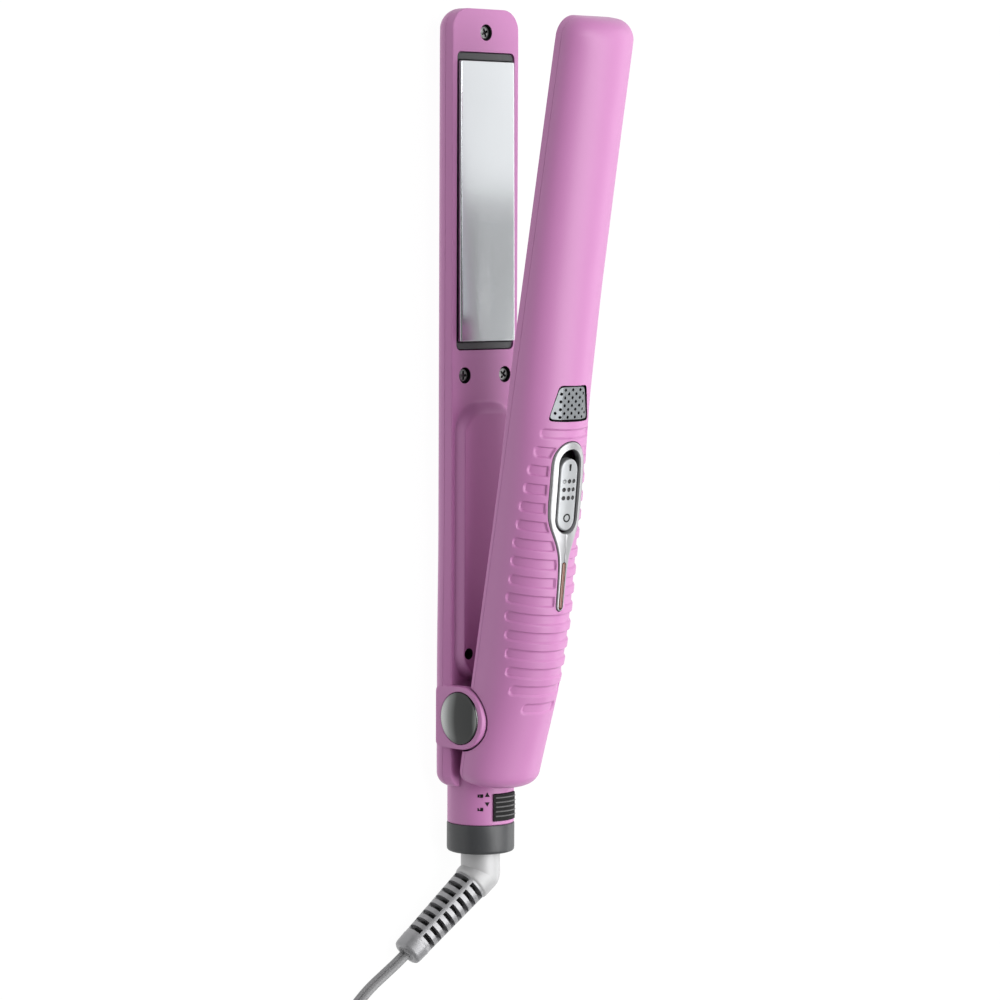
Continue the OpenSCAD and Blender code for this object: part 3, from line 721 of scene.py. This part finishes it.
def make_bezel():
    """Raised teardrop frame; the button's recess and the lamp's slot are cut through it."""
    rings = []
    for inset, lift in ((99, -1.6), (0.0, -1.6), (0.0, 0.12), (0.08, 0.3), (0.25, 0.42), (0.5, 0.47), (0.9, 0.45),
                        (1.4, 0.42), (2.2, 0.4), (3.2, 0.38), (4.4, 0.36), (5.6, 0.35)):
        p = drop_ring(inset)
        rings.append(np.column_stack([p, dome_z(p[:, 0], p[:, 1]) + lift]))
    part = loft(rings)
    ob = as_object("switch_frame", moved(part, opened), SILVER, sharp=40)
    rec = rounded(-0.9, 26.4, -4.75, 4.75, 4.74, 12)
    rec_top = rounded(-1.35, 26.85, -5.2, 5.2, 5.19, 12)
    bowl = loft([np.column_stack([rec, np.full(len(rec), 5.0)]),
                 np.column_stack([rec, dome_z(rec[:, 0], rec[:, 1]) - 0.15]),
                 np.column_stack([rec_top, dome_z(rec_top[:, 0], rec_top[:, 1]) + 0.5]),
                 np.column_stack([rec_top, np.full(len(rec), 30.0)])])
    slot = prism(rounded(35.9, 51.7, -0.95, 0.95, 0.94, 8), 5, 30)
    combine(ob, [moved(bowl, opened), moved(slot, opened)], sharp=40)
    put(ob, "upper_arm", "switch_bezel")
    floor = loft([np.column_stack([rounded(-2.6, 28, -6.4, 6.4, 6, 8) * [1, 1], np.full(36, z)])
                  for z in (11.2, 12.0)])
    well = as_object("switch_well", moved(floor, opened), DARK)
    put(well, "upper_arm")
    return ob


def button_z(x, y):
    """Top of the power button: a flatter arch than the arm's back, just under the bezel."""
    return dome_z(x, 0) - 0.15 - (dome_z(x, 0) - dome_z(x, y)) * 0.85


def make_slider():
    """Capsule-shaped button with nine dimples, and a bar and a ring for on and off."""
    line = rounded(2.0, 25.7, -4.05, 4.05, 4.04, 14)
    spine = np.column_stack([np.clip(line[:, 0], 6.2, 21.5), np.zeros(len(line))])
    away = line - spine
    rings = []
    for k, z in ((1.0, -2.4), (1.0, -0.5), (0.985, -0.3), (0.95, -0.12), (0.9, -0.03), (0.82, 0.0)):
        p = spine + away * k
        rings.append(np.column_stack([p, button_z(p[:, 0], p[:, 1]) + z]))
    for k in np.linspace(0.74, 0.04, 12):
        p = spine + away * k
        rings.append(np.column_stack([p, button_z(p[:, 0], p[:, 1])]))
    ob = as_object("power_button", moved(loft(rings), opened), BUTTON, sharp=40)
    cuts = []
    for i in range(3):
        for j in (-1, 0, 1):
            x, y = 9.3 + 2.75 * i, 2.2 * j
            ball = [(math.cos(t) * -1.3, max(0.01, 1.1 * math.sin(t))) for t in np.linspace(0, math.pi, 9)]
            v, f = lathe(ball, 16, "z")
            cuts.append((v * [0.8, 0.9, 0.7] + [x, y, float(button_z(x, y)) + 0.42], f))
    combine(ob, [moved(c, opened) for c in cuts], sharp=40)
    put(ob, "power_switch", "power_slider")
    ring_v = []
    for r, z in ((1.6, -0.05), (1.6, 0.05), (1.05, 0.05), (1.05, -0.05), (1.6, -0.05)):
        a = np.linspace(0, 2 * math.pi, 28, endpoint=False)
        x, y = 21.4 + r * 0.9 * np.cos(a), r * np.sin(a)
        ring_v.append(np.column_stack([x, y, button_z(x, y) + z]))
    mark_o = loft(ring_v, (False, False))
    z_bar = float(button_z(5.4, 0))
    mark_i = block(3.7, 6.9, -0.38, 0.38, z_bar - 0.3, z_bar + 0.06, 0.1, 0.03, 2)
    marks = as_object("power_marks", moved(merge(mark_o, mark_i), opened), PRINT)
    put(marks, "power_switch")
    return ob


def make_lens():
    line = rounded(36.1, 51.5, -0.8, 0.8, 0.79, 8)
    spine = np.column_stack([np.clip(line[:, 0], 36.9, 50.7), np.zeros(len(line))])
    away = line - spine
    rings = []
    for k, z in ((1.0, -1.2), (1.0, 0.2), (0.9, 0.38), (0.7, 0.5), (0.4, 0.58), (0.1, 0.6)):
        p = spine + away * k
        rings.append(np.column_stack([p, dome_z(p[:, 0], 0) + z]))
    ob = as_object("lamp_lens", moved(loft(rings), opened), LENS, sharp=50)
    return put(ob, "upper_arm", "indicator_lens")


def make_vent():
    """Faceted grille with staggered holes, set just below the shell's surface."""
    line = vent_outline(-0.25)

    def roof(x, y):
        flat = dome_z(x, 5.4) - 0.1
        side = dome_z(x, 9.0) - 0.2
        t = np.clip((np.abs(y) - 4.6) / (8.8 - 4.6), 0, 1)
        return flat + (side - flat) * t

    grid_x = np.linspace(-21.6, -10.2, 30)
    grid_y = np.concatenate([[-9.4], np.linspace(-9.2, -4.8, 6), [-4.6, -4.4], np.linspace(-4, 4, 5), [4.4, 4.6],
                             np.linspace(4.8, 9.2, 6), [9.4]])
    top = []
    for x in grid_x:
        up = [(x, y, float(roof(x, y))) for y in grid_y]
        low = [(x, y, float(roof(x, y)) - 1.0) for y in grid_y[::-1]]
        top.append(up + low)
    ob = as_object("vent", moved(loft(top), opened), VENT, sharp=20)
    combine(ob, [moved(prism(line, 2, 30), opened)], "INTERSECT", 20)
    holes = []
    for i in range(8):
        x = -20.3 + 1.27 * i
        hw = 5.9 + (x + 21.5) * 0.27 - 1.0
        for j in range(-3, 4):
            y = j * 3.4 + (1.7 if i % 2 else 0.0)
            if abs(y) < hw:
                holes.append(lathe([(4, 0.52), (30, 0.52)], 12, "z", (x, y, 0)))
    combine(ob, [moved(merge(*holes), opened)], sharp=20)
    put(ob, "upper_arm", "vent_grille")
    backing = as_object("vent_well", moved(block(-22.4, -9.6, -9.8, 9.8, 9.6, 10.0, 1.5, 0.1), opened), DARK)
    return put(backing, "upper_arm")


def cover_ring(x, w, c, z0, top, ys, bead=0.07):
    """Section of an inner cover: seam edges, rounded upper corners and a face of many points.

    Heights run from z0 (the seam) to 0 (the face) plus top(x, y)."""
    c = max(c, 0.25)
    pts = [(-w + bead, z0), (-w, z0 + bead)]
    pts += [(-w + c - c * math.cos(t), -c + c * math.sin(t)) for t in np.radians(np.linspace(0, 75, 5))]
    flat = np.clip(ys, -w + c + 0.02, w - c - 0.02)
    pts += [(y, 0.0) for y in flat]
    pts += [(w - c + c * math.sin(t), -c + c * math.cos(t)) for t in np.radians(np.linspace(15, 90, 5))]
    pts += [(w, z0 + bead), (w - bead, z0)]
    n = len(pts)
    pts += [(w * 0.5, z0), (0.0, z0), (-w * 0.5, z0)]
    out = np.array([(x, y, z) for y, z in pts])
    face = slice(7, 7 + len(ys))
    out[face, 2] += top(x, out[face, 1])
    return out


def hump_rise(x, y):
    """Raised back of the lower arm's inner face, with a drafted flank."""
    hw, x0, x1, r = 13.75, -10.6, 83.0, 10.5
    cx, hx = (x0 + x1) / 2, (x1 - x0) / 2
    qx, qy = abs(x - cx) - (hx - r), np.abs(y) - (hw - r)
    d = np.hypot(np.maximum(qx, 0), np.maximum(qy, 0)) + np.minimum(np.maximum(qx, qy), 0) - r
    nx = np.where((qx > 0) & (qy > 0), qx / (np.hypot(qx, qy) + 1e-9), np.where(qx > qy, 1.0, 0.0))
    slope = 1.05 + (3.0 if x < cx else 1.5) * np.clip(nx, 0, 1) ** 1.5
    t = np.clip(-d / slope, 0, 1)
    return 3.8 * (0.35 * smooth(t) + 0.65 * np.sin(t * math.pi / 2) ** 1.2)


def make_cover(name, reach, x_list, corner, top, ys, place, cuts, extra, body, node, flare=None):
    rings = []
    for x in x_list:
        q = reach(x, 0)
        w = HALF_W - q
        ring = cover_ring(x, w, min(corner(x), w * 0.4), -SIDE_H, top, ys)
        if flare:
            out = np.clip(-ring[:, 2] / SIDE_H, 0, 1) * flare(x)
            ring[:, 1] *= 1 + out / max(w, 6)
        rings.append(ring)
    ob = as_object(name, moved(loft(rings), place), ORCHID, sharp=32)
    combine(ob, cuts, sharp=32)
    if extra:
        for k, part in enumerate(extra):
            add = as_object("extra", part, ORCHID, sharp=32)
            join_into(ob, add)
    return put(ob, body, node)


def join_into(ob, other):
    bm = bmesh.new()
    bm.from_mesh(ob.data)
    bm.from_mesh(other.data)
    bm.to_mesh(ob.data)
    bm.free()
    bpy.data.objects.remove(other)


def face_up(v):
    """Cover sections are drawn face up at z = 0; the lower arm's face is at its full height."""
    v = np.array(v, float)
    v[:, 2] += LOWER_H
    return v


def face_down(v):
    """The same section on the upper arm, its face turned down."""
    v = np.array(v, float)
    v[:, 2] *= -1
    return opened(v)


def head_cuts(place):
    win = rounded(WIN0, WIN1, -WIN_HW, WIN_HW, 1.8, 6)
    cuts = [prism(win, -12, 12)]
    for x, y in ((-132.5, 0), (-19.4, 9.35), (-19.4, -9.35)):
        cuts.append(lathe([(-2.0, 2.7), (3, 2.7)], 40, "z", (x, y, 0)))
        cuts.append(lathe([(-8.0, 1.4), (3, 1.4)], 24, "z", (x, y, 0)))
    return [moved(c, place) for c in cuts]


def ear():
    """D-shaped pad on the +Y side that carries the pivot cap."""
    def outline(inset):
        r = 10.5 - inset
        pts = [(r * math.cos(t), r * math.sin(t)) for t in np.radians(np.linspace(0, 180, 49))]
        low = 6.1 - PIVOT[2] + inset
        c = 2.0
        pts += [(-r, -4), (-r, low + c)]
        pts += [(-r + c - c * math.cos(t), low + c - c * math.sin(t)) for t in np.radians(np.linspace(10, 90, 7))]
        pts += [(r - c + c * math.sin(t), low + c - c * math.cos(t)) for t in np.radians(np.linspace(0, 80, 7))]
        pts += [(r, low + c), (r, -4)]
        return np.array(pts)

    rings = []
    for y, inset in ((13.1, 0), (15.7, 0), (16.0, 0.08), (16.25, 0.25), (16.42, 0.5), (16.5, 0.85)):
        p = outline(inset)
        rings.append(np.column_stack([p[:, 0] + PIVOT[0], np.full(len(p), y), p[:, 1] + PIVOT[2]]))
    return loft(rings)


def lower_flare(x):
    """How far the lower arm's side leans out between its face and its seam."""
    return 0.5 + 0.6 * float(smooth((x - 30) / 50))


# degrees above level at which the neck's tube meets the seam
NECK_CUT = math.degrees(math.asin((SEAM - NECK_Z) / NECK_R))
NECK_X0, NECK_BORE = 112.0, 9.2


def neck_half(a):
    """The part of the neck's tube that the angles a cover."""
    rings = []
    for x, r in ((NECK_X0, NECK_R), (NECK_X1 - 0.25, NECK_R), (NECK_X1, NECK_R - 0.25), (NECK_X1, NECK_BORE),
                 (NECK_X0, NECK_BORE), (NECK_X0, NECK_R)):
        rings.append(np.column_stack([np.full(len(a), x), r * np.cos(a), NECK_Z + r * np.sin(a)]))
    return loft(rings, (False, False), closed=False)


def make_lower_cover():
    fine = np.concatenate([np.linspace(-14.6, -12.2, 17), np.linspace(-11.8, 11.8, 41),
                           np.linspace(12.2, 14.6, 17)])
    mids = np.concatenate([np.arange(-130, -12, 4.0), np.arange(-11.5, 4, 0.4), np.arange(5, 70, 2.5),
                           np.arange(71, 88, 0.6), np.arange(90, 112.4, 2.0)])
    xs = station_list(TIP_X, REAR_X, 7.0, 5.0, mids)
    cuts = head_cuts(face_up)
    for y in (-10.8, 10.8):
        cuts.append(lathe([(11.2, 1.9), (30, 1.9)], 32, "z", (72.8, y, 0)))
    neck_part = neck_half(np.radians(np.linspace(NECK_CUT, 180 - NECK_CUT, 57)))
    ob = make_cover("lower_face", lower_reach, xs, lambda x: 0.35, hump_rise, fine, face_up, cuts, [],
                    "lower_arm", "lower_cover", flare=lower_flare)
    neck_ob = as_object("neck_top", neck_part, ORCHID)
    combine(neck_ob, [block(119.3, 129.4, -4.75, 5.95, 18, 26, 0.4, 0.1)])
    join_into(ob, neck_ob)
    for s in (1, -1):
        pad = as_object("pad", ear() if s > 0 else flipped(ear()), ORCHID)
        ring = [(s * 15.3, 8.85), (s * 20, 8.85)][::s]
        combine(pad, [lathe(ring, 64, "y", PIVOT)])
        join_into(ob, pad)
    ob.data.set_sharp_from_angle(angle=math.radians(32))
    return ob


def make_upper_cover():
    ys = np.linspace(-14.4, 14.4, 25)
    mids = np.arange(-130, 110, 4.0)
    xs = station_list(TIP_X, UPPER_REAR, 7.0, 5.0, mids)
    cuts = head_cuts(face_down)
    for s in (-1, 1):
        cuts.append(moved(lathe([(s * 12.85, 11.1), (s * 22, 11.1)][::s], 72, "y",
                                (PIVOT[0], 0, PIVOT[2] - INNER_Z)), opened))
        cuts.append(moved(lathe([(s * 10.6, 11.1), (s * 14, 11.1)][::s], 72, "y",
                                (PIVOT[0], 0, PIVOT[2] - INNER_Z)), opened))
    cuts.append(moved(block(PIVOT[0] - 10.5, PIVOT[0] + 8, -5.4, 5.4, -8, 8, 0.8, 0.1), opened))
    cuts.append(moved(lathe([(-20, 3.2), (20, 3.2)], 40, "y", (PIVOT[0], 0, PIVOT[2] - INNER_Z)), opened))
    cuts.append(moved(block(110, 122, -3.4, 3.4, -2, 8, 1.0, 0.1), opened))
    knuckles = []
    for y in (-8, 8):
        ring = [(y - 2.4, 3.2), (y - 2.4, 4.5), (y - 2.1, 4.8), (y + 2.1, 4.8), (y + 2.4, 4.5),
                (y + 2.4, 3.2), (y - 2.4, 3.2)]
        a = np.linspace(0, 2 * math.pi, 40, endpoint=False)
        rr = [np.column_stack([PIVOT[0] + r * np.cos(a), np.full(40, t), PIVOT[2] + r * np.sin(a)])
              for t, r in ring]
        knuckles.append(loft(rr, (False, False)))
    return make_cover("upper_face", upper_reach, xs,
                      lambda x: min(2.65, 1.6 * float(np.interp(x, EDGE[:, 0], EDGE[:, 1]))),
                      lambda x, y: np.zeros_like(y), ys, face_down, cuts, knuckles,
                      "upper_arm", "upper_cover")


def make_lower_shell():
    mids = np.arange(-130, 112, 4.0)
    xs = station_list(TIP_X, REAR_X, 7.0, 5.0, mids)
    top = SEAM + SIDE_H + 0.35

    (v, f), hollow = shell(xs, lower_reach, lambda x: top, lambda x: SIDE_H, SIDE_H, 2.0, 73, 31)
    fuller = np.array([lower_flare(x) for x in v[:, 0]])
    deep = np.clip((v[:, 2] - SIDE_H) / 7.0, 0, 1)
    v[:, 1] *= 1 + fuller * (1 + 0.6 * deep - 1.1 * deep ** 2) / HALF_W
    v[:, 2] = np.minimum(v[:, 2], LOWER_H)
    ob = as_object("lower_back", (turned_over(v), f), ORCHID)
    combine(ob, [moved(hollow, turned_over)])
    low = neck_half(np.radians(np.linspace(180 - NECK_CUT, 360 + NECK_CUT, 61)))
    join_into(ob, as_object("neck_low", low, ORCHID))
    return put(ob, "lower_arm", "lower_shell")


upper_back = make_upper_shell()
make_bezel()
make_slider()
make_lens()
make_vent()
make_lower_cover()
make_upper_cover()
make_lower_shell()


# ---------------------------------------------------------------- plates, carriers and screws
def tilted(v):
    """Each plate leans half a degree in its arm."""
    mid = (WIN0 + WIN1) / 2
    a = math.radians(0.5)
    v = np.array(v, float)
    x, z = v[:, 0] - mid, v[:, 2].copy()
    v[:, 0] = mid + math.cos(a) * x + math.sin(a) * z
    v[:, 2] = -math.sin(a) * x + math.cos(a) * z - 1.4
    return v


def make_head(place, prefix, body):
    mid = (WIN0 + WIN1) / 2
    rings = []
    for x, inset in ((mid - 46.2, 0.35), (mid - 46.1, 0.12), (mid - 45.85, 0.0), (mid, 0), (mid + 45.85, 0.0),
                     (mid + 46.1, 0.12), (mid + 46.2, 0.35)):
        hw, r = 12.6 - inset, 0.75
        pts = [(hw, 2.3), (hw, r + inset)]
        pts += [(hw - r + r * math.sin(t), r - r * math.cos(t) + inset)
                for t in np.radians(np.linspace(75, 0, 6))]
        pts += [(-y, z) for y, z in reversed(pts)]
        rings.append([(x, y, z) for y, z in pts])
    plate = as_object(prefix + "_iron", moved(loft(rings), lambda v: place(tilted(v))), PLATE, sharp=40)
    put(plate, body, prefix + "_plate")
    frame_block = block(WIN0 + 0.25, WIN1 - 0.25, -WIN_HW + 0.3, WIN_HW - 0.3, 0.35, 3.0, 1.6, 0.3)
    bed = as_object(prefix + "_bed", moved(frame_block, place), GREY)
    pocket = block(mid - 46.6, mid + 46.6, -12.85, 12.85, -1, 2.2, 0.5, 0.1)
    combine(bed, [moved(pocket, place)])
    put(bed, body, prefix + "_plate_carrier")
    heads = [(x, y, 0.75) for x, y in ((-132.5, 0), (-19.4, 9.35), (-19.4, -9.35))]
    screws(prefix + "_screw_set", heads, place, 2.25, body, prefix + "_screws")


def screws(name, spots, place, r, body, node):
    """Pan heads with a cross recess, driven into their counterbores."""
    whole = None
    for k, (x, y, z) in enumerate(spots):
        # height counts down from the cover's face; the crown is at z
        prof = [(z + 1.3, r), (z + 0.35, r), (z + 0.15, r * 0.93), (z + 0.03, r * 0.75), (z, r * 0.5),
                (z - 0.01, 0.02)]
        shank = [(z + 6.4, 0.6), (z + 5.6, 1.2), (z + 1.2, 1.25)]
        head = lathe(shank + prof, 32, "z", (x, y, 0))
        ob = as_object("screw", moved(head, place), STEEL, sharp=40)
        turn = 20 + 35 * k
        cross = []
        for t in (turn, turn + 90):
            bar = block(-r * 0.66, r * 0.66, -0.42, 0.42, z - 1, z + 1.1, 0.1, 0.02, 2)
            c, s = math.cos(math.radians(t)), math.sin(math.radians(t))
            v = bar[0] @ np.array([[c, s, 0], [-s, c, 0], [0, 0, 1]]) + [x, y, 0]
            cross.append(moved((v, bar[1]), place))
        combine(ob, cross)
        if whole is None:
            whole = ob
        else:
            join_into(whole, ob)
    whole.name = name
    whole.data.set_sharp_from_angle(angle=math.radians(40))
    return put(whole, body, node)


make_head(turned_over, "lower", "lower_arm")
make_head(opened, "upper", "upper_arm")
screws("deep_screw_pair", [(72.8, -10.8, 1.3), (72.8, 10.8, 1.3)], turned_over, 1.8, "lower_arm",
       "deep_screws")


# ---------------------------------------------------------------- hinge caps, collar, stem and sleeve
def make_cap(side, node):
    prof = [(15.3, 8.65), (16.35, 8.65), (16.62, 8.6), (16.8, 8.45), (16.9, 8.2), (16.88, 7.9), (16.8, 7.7)]
    for t in np.linspace(7.5, 0.05, 16):
        prof.append((16.8 + 1.15 * (1 - (t / 7.6) ** 2), t))
    cap = lathe(prof, 72, "y", PIVOT)
    if side < 0:
        cap = flipped(cap)
    ob = as_object("cap_" + ("back" if side > 0 else "front"), cap, CAP_PAINTED_REFLECTION, sharp=50)
    return put(ob, "lower_arm", node)


make_cap(1, "rear_pivot_cap")
make_cap(-1, "front_pivot_cap")

collar = as_object("collar", lathe([(128.9, 8.3), (128.9, 9.1), (130.32, 9.1), (130.32, 10.9), (130.5, 11.25),
                                    (130.8, 11.35), (134, 11.35), (138.9, 11.35), (139.5, 11.25), (139.9, 10.9),
                                    (140.15, 10.3), (140.2, 9.6), (140.2, 6.85), (139.4, 6.7), (136, 6.7)],
                                   96, "x", (0, 0, NECK_Z)), COLLAR)
put(collar, "lower_arm", "collar_ring")


def make_stem():
    """Plain barrel that turns in the collar, with a tight rounded elbow into the sleeve."""
    barrel = lathe([(119.5, 4.7), (119.8, 5.0), (130.6, 5.0), (130.6, 6.6), (140.4, 6.62), (ELBOW[0], 6.6),
                    (ELBOW[0], 0.02)], 72, "x", (0, 0, NECK_Z))
    ball = lathe([(6.6 * -math.cos(t), max(0.02, 6.6 * math.sin(t)))
                  for t in np.linspace(0, math.pi, 33)], 72, "z")
    stub = lathe([(0, 0.02), (0, 6.58), (4.6, 6.55), (5.2, 6.4), (5.6, 6.0), (5.6, 0.02)], 72, "z")
    part = merge(barrel, moved(ball, along_relief), moved(stub, along_relief))
    return put(as_object("stem", part, STEM, sharp=45), "cord_swivel", "swivel_stem")


def make_sleeve():
    """Ribbed sleeve: rows of windows between four spines, and a plain cuff at its end."""
    def rad(t):
        return 6.1 + (5.0 - 6.1) * (t - 5) / 33.4

    prof = [(5.0, rad(5) - 0.1)] + [(t, rad(t)) for t in (5.2, 10, 16, 22, 28, 33.0)]
    prof += [(33.3, rad(33) + 0.15), (33.8, 5.25), (37.2, 5.1), (37.9, 4.9), (38.3, 4.4), (38.4, 3.2),
             (37.6, 2.3)]
    ob = as_object("sleeve", moved(lathe(prof, 64, "z"), along_relief), RELIEF, sharp=40)
    cuts = []
    for k in range(8):
        t = 6.3 + 3.38 * k
        for spot in (0, 90, 180, 270):
            gap = []
            for r in (2.7, 8.5):
                for a in (np.radians(spot + SPINE_TURN + s) for s in np.linspace(-38, 38, 9)):
                    gap.append((r * math.cos(a), r * math.sin(a)))
            poly = gap[:9] + gap[9:][::-1]
            cuts.append(prism(poly, t, t + 1.75))
    combine(ob, [moved(merge(*cuts), along_relief)], sharp=40)
    # Painted shade: a black core inside the sleeve stands for the shadow in its windows, where the cord runs.
    core = as_object("sleeve_painted_shade_core", moved(lathe([(5, 3.3), (34, 3.3)], 32, "z"), along_relief), PRINT)
    put(core, "cord_swivel")
    return put(ob, "cord_swivel", "strain_relief")


SPINE_TURN = 80.0
stem_piece = make_stem()
sleeve_piece = make_sleeve()


# ---------------------------------------------------------------- lock button and its marks
def on_neck(x, a, r):
    """Points at station x, angle a (degrees from +Y up over the neck) and radius r."""
    a = np.radians(a)
    return np.column_stack([x + 0 * a, r * np.cos(a), NECK_Z + r * np.sin(a)])


def neck_ring(stations, r_in, a0, a1, steps=15):
    """Closed band over the neck through (x, outer radius) stations."""
    a = np.linspace(a0, a1, steps)
    return loft([np.vstack([on_neck(x, a, r), on_neck(x, a[::-1], r_in)]) for x, r in stations])


def make_lock():
    """Black pad with raised ribs, and the tongue that enters the upper arm's end."""
    x0, x1 = 119.7, 128.95
    pad = neck_ring([(x0, 11.55), (x0 + 0.25, 11.85), (x1 - 0.25, 11.85), (x1, 11.55)], 9.9, 60, 113)
    tongue = block(118.4, 124.8, -2, 2, 17.6, 19.1, 0.4, 0.2)
    ob = as_object("lock_button", merge(pad, tongue), PRINT, sharp=40)
    ribs = []
    for k in range(5):
        x = x0 + 1.0 + k * 1.55
        crest = [(x, 11.9), (x + 0.12, 12.25), (x + 0.42, 12.25), (x + 0.54, 11.9)]
        ribs.append(neck_ring(crest, 11.6, 63, 110))
    put(as_object("lock_ribs", merge(*ribs), RIB, sharp=40), "arm_lock")
    return put(ob, "arm_lock", "lock_slider")


def neck_mark(outline, x, a):
    """Flat mark of (along, around) points in millimetres, bent onto the neck."""
    p = np.array(outline, float)
    turn = a + np.degrees(p[:, 1] / NECK_R)
    return loft([on_neck(x + p[:, 0], turn, NECK_R - 0.1), on_neck(x + p[:, 0], turn, NECK_R + 0.05)])


def make_marks():
    """Two arrows beside the lock button, each with a small shut or open padlock."""
    marks = []
    for x, way in ((119.9, 1), (123.1, -1)):
        marks.append(neck_mark([(-0.8 * way, 0), (0.7 * way, 0.85), (0.7 * way, -0.85)], x, 123.5))
    for x, lift in ((120.3, 0.0), (124.8, 0.45)):
        for part in ([(-0.6, -0.7), (0.6, -0.7), (0.6, 0.3), (-0.6, 0.3)],
                     [(-0.5, 0.3 + lift), (-0.25, 0.3 + lift), (-0.25, 0.95), (0.25, 0.95), (0.25, 0.3),
                      (0.5, 0.3), (0.5, 1.2), (-0.5, 1.2)]):
            marks.append(neck_mark(part, x, 134.0))
    return put(as_object("lock_marks", merge(*marks), PRINT), "lower_arm")


make_lock()
make_marks()

# ---------------------------------------------------------------- inner parts keep their CAD shapes
INNER = {
    "lower_insulator": MICA, "upper_insulator": MICA, "lower_heater": CERAMIC, "upper_heater": CERAMIC,
    "thermal_fuse": CERAMIC, "lower_leads": LEAD, "upper_leads": LEAD, "hinge_pin": STEEL, "hinge_spring": STEEL,
    "contact_brushes": BRASS, "contact_rings": BRASS, "hinge_bushes": BRASS, "control_board": BOARD,
    "ion_module": DARK, "switch_body": DARK, "indicator_lamp": LENS,
}
for node, mat in INNER.items():
    ob = NODES[node]
    ob.data.materials.clear()
    ob.data.materials.append(mat)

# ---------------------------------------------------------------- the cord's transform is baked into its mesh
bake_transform(cord_mesh)


# ---------------------------------------------------------------- studio
def make_stage():
    me = bpy.data.meshes.new("floor")
    me.from_pydata([(-30, -30, 0), (30, -30, 0), (30, 30, 0), (-30, 30, 0)], [], [(0, 1, 2, 3)])
    ob = bpy.data.objects.new("floor", me)
    ob.location.z = -0.0002
    bpy.context.scene.collection.objects.link(ob)
    mat, nt, bsdf = nodes_of("floor_white")
    bsdf.inputs["Base Color"].default_value = (0.04, 0.04, 0.04, 1)
    bsdf.inputs["Roughness"].default_value = 1.0
    bsdf.inputs["Specular IOR Level"].default_value = 0.0
    bsdf.inputs["Emission Color"].default_value = (1, 1, 1, 1)
    bsdf.inputs["Emission Strength"].default_value = 0.97
    me.materials.append(mat)
    world = bpy.data.worlds.new("studio")
    world.use_nodes = True
    nt = world.node_tree
    bg = nt.nodes["Background"]
    bg.inputs["Color"].default_value = (1, 1, 1, 1)
    coord = nt.nodes.new("ShaderNodeTexCoord")
    lean = nt.nodes.new("ShaderNodeVectorMath")
    lean.operation = "DOT_PRODUCT"
    lean.inputs[1].default_value = (0, 0.7, 0.7)
    level = nt.nodes.new("ShaderNodeMapRange")
    level.inputs["From Min"].default_value = -0.7
    level.inputs["From Max"].default_value = 1.0
    level.inputs["To Min"].default_value = 0.0
    level.inputs["To Max"].default_value = 0.5
    nt.links.new(coord.outputs["Generated"], lean.inputs[0])
    nt.links.new(lean.outputs["Value"], level.inputs["Value"])
    nt.links.new(level.outputs["Result"], bg.inputs["Strength"])
    bpy.context.scene.world = world
    bpy.context.scene.view_settings.view_transform = "Standard"


def area(name, place, aim, size, power):
    data = bpy.data.lights.new(name, "AREA")
    data.shape = "RECTANGLE"
    data.size, data.size_y = size
    data.energy = power
    ob = bpy.data.objects.new(name, data)
    ob.location = place
    ob.rotation_euler = (Vector(aim) - Vector(place)).to_track_quat("-Z", "Y").to_euler()
    bpy.context.scene.collection.objects.link(ob)


make_stage()
area("side", (0.0, 1.6, 0.5), (0, 0, 0.03), (2.2, 0.6), 10)
area("top", (-0.1, 0.2, 1.65), (0, 0, 0.03), (2.4, 1.2), 39)
area("panel", (-0.93, 1.15, 1.17), (-0.93, 0, 0.03), (1.6, 0.9), 3.3)
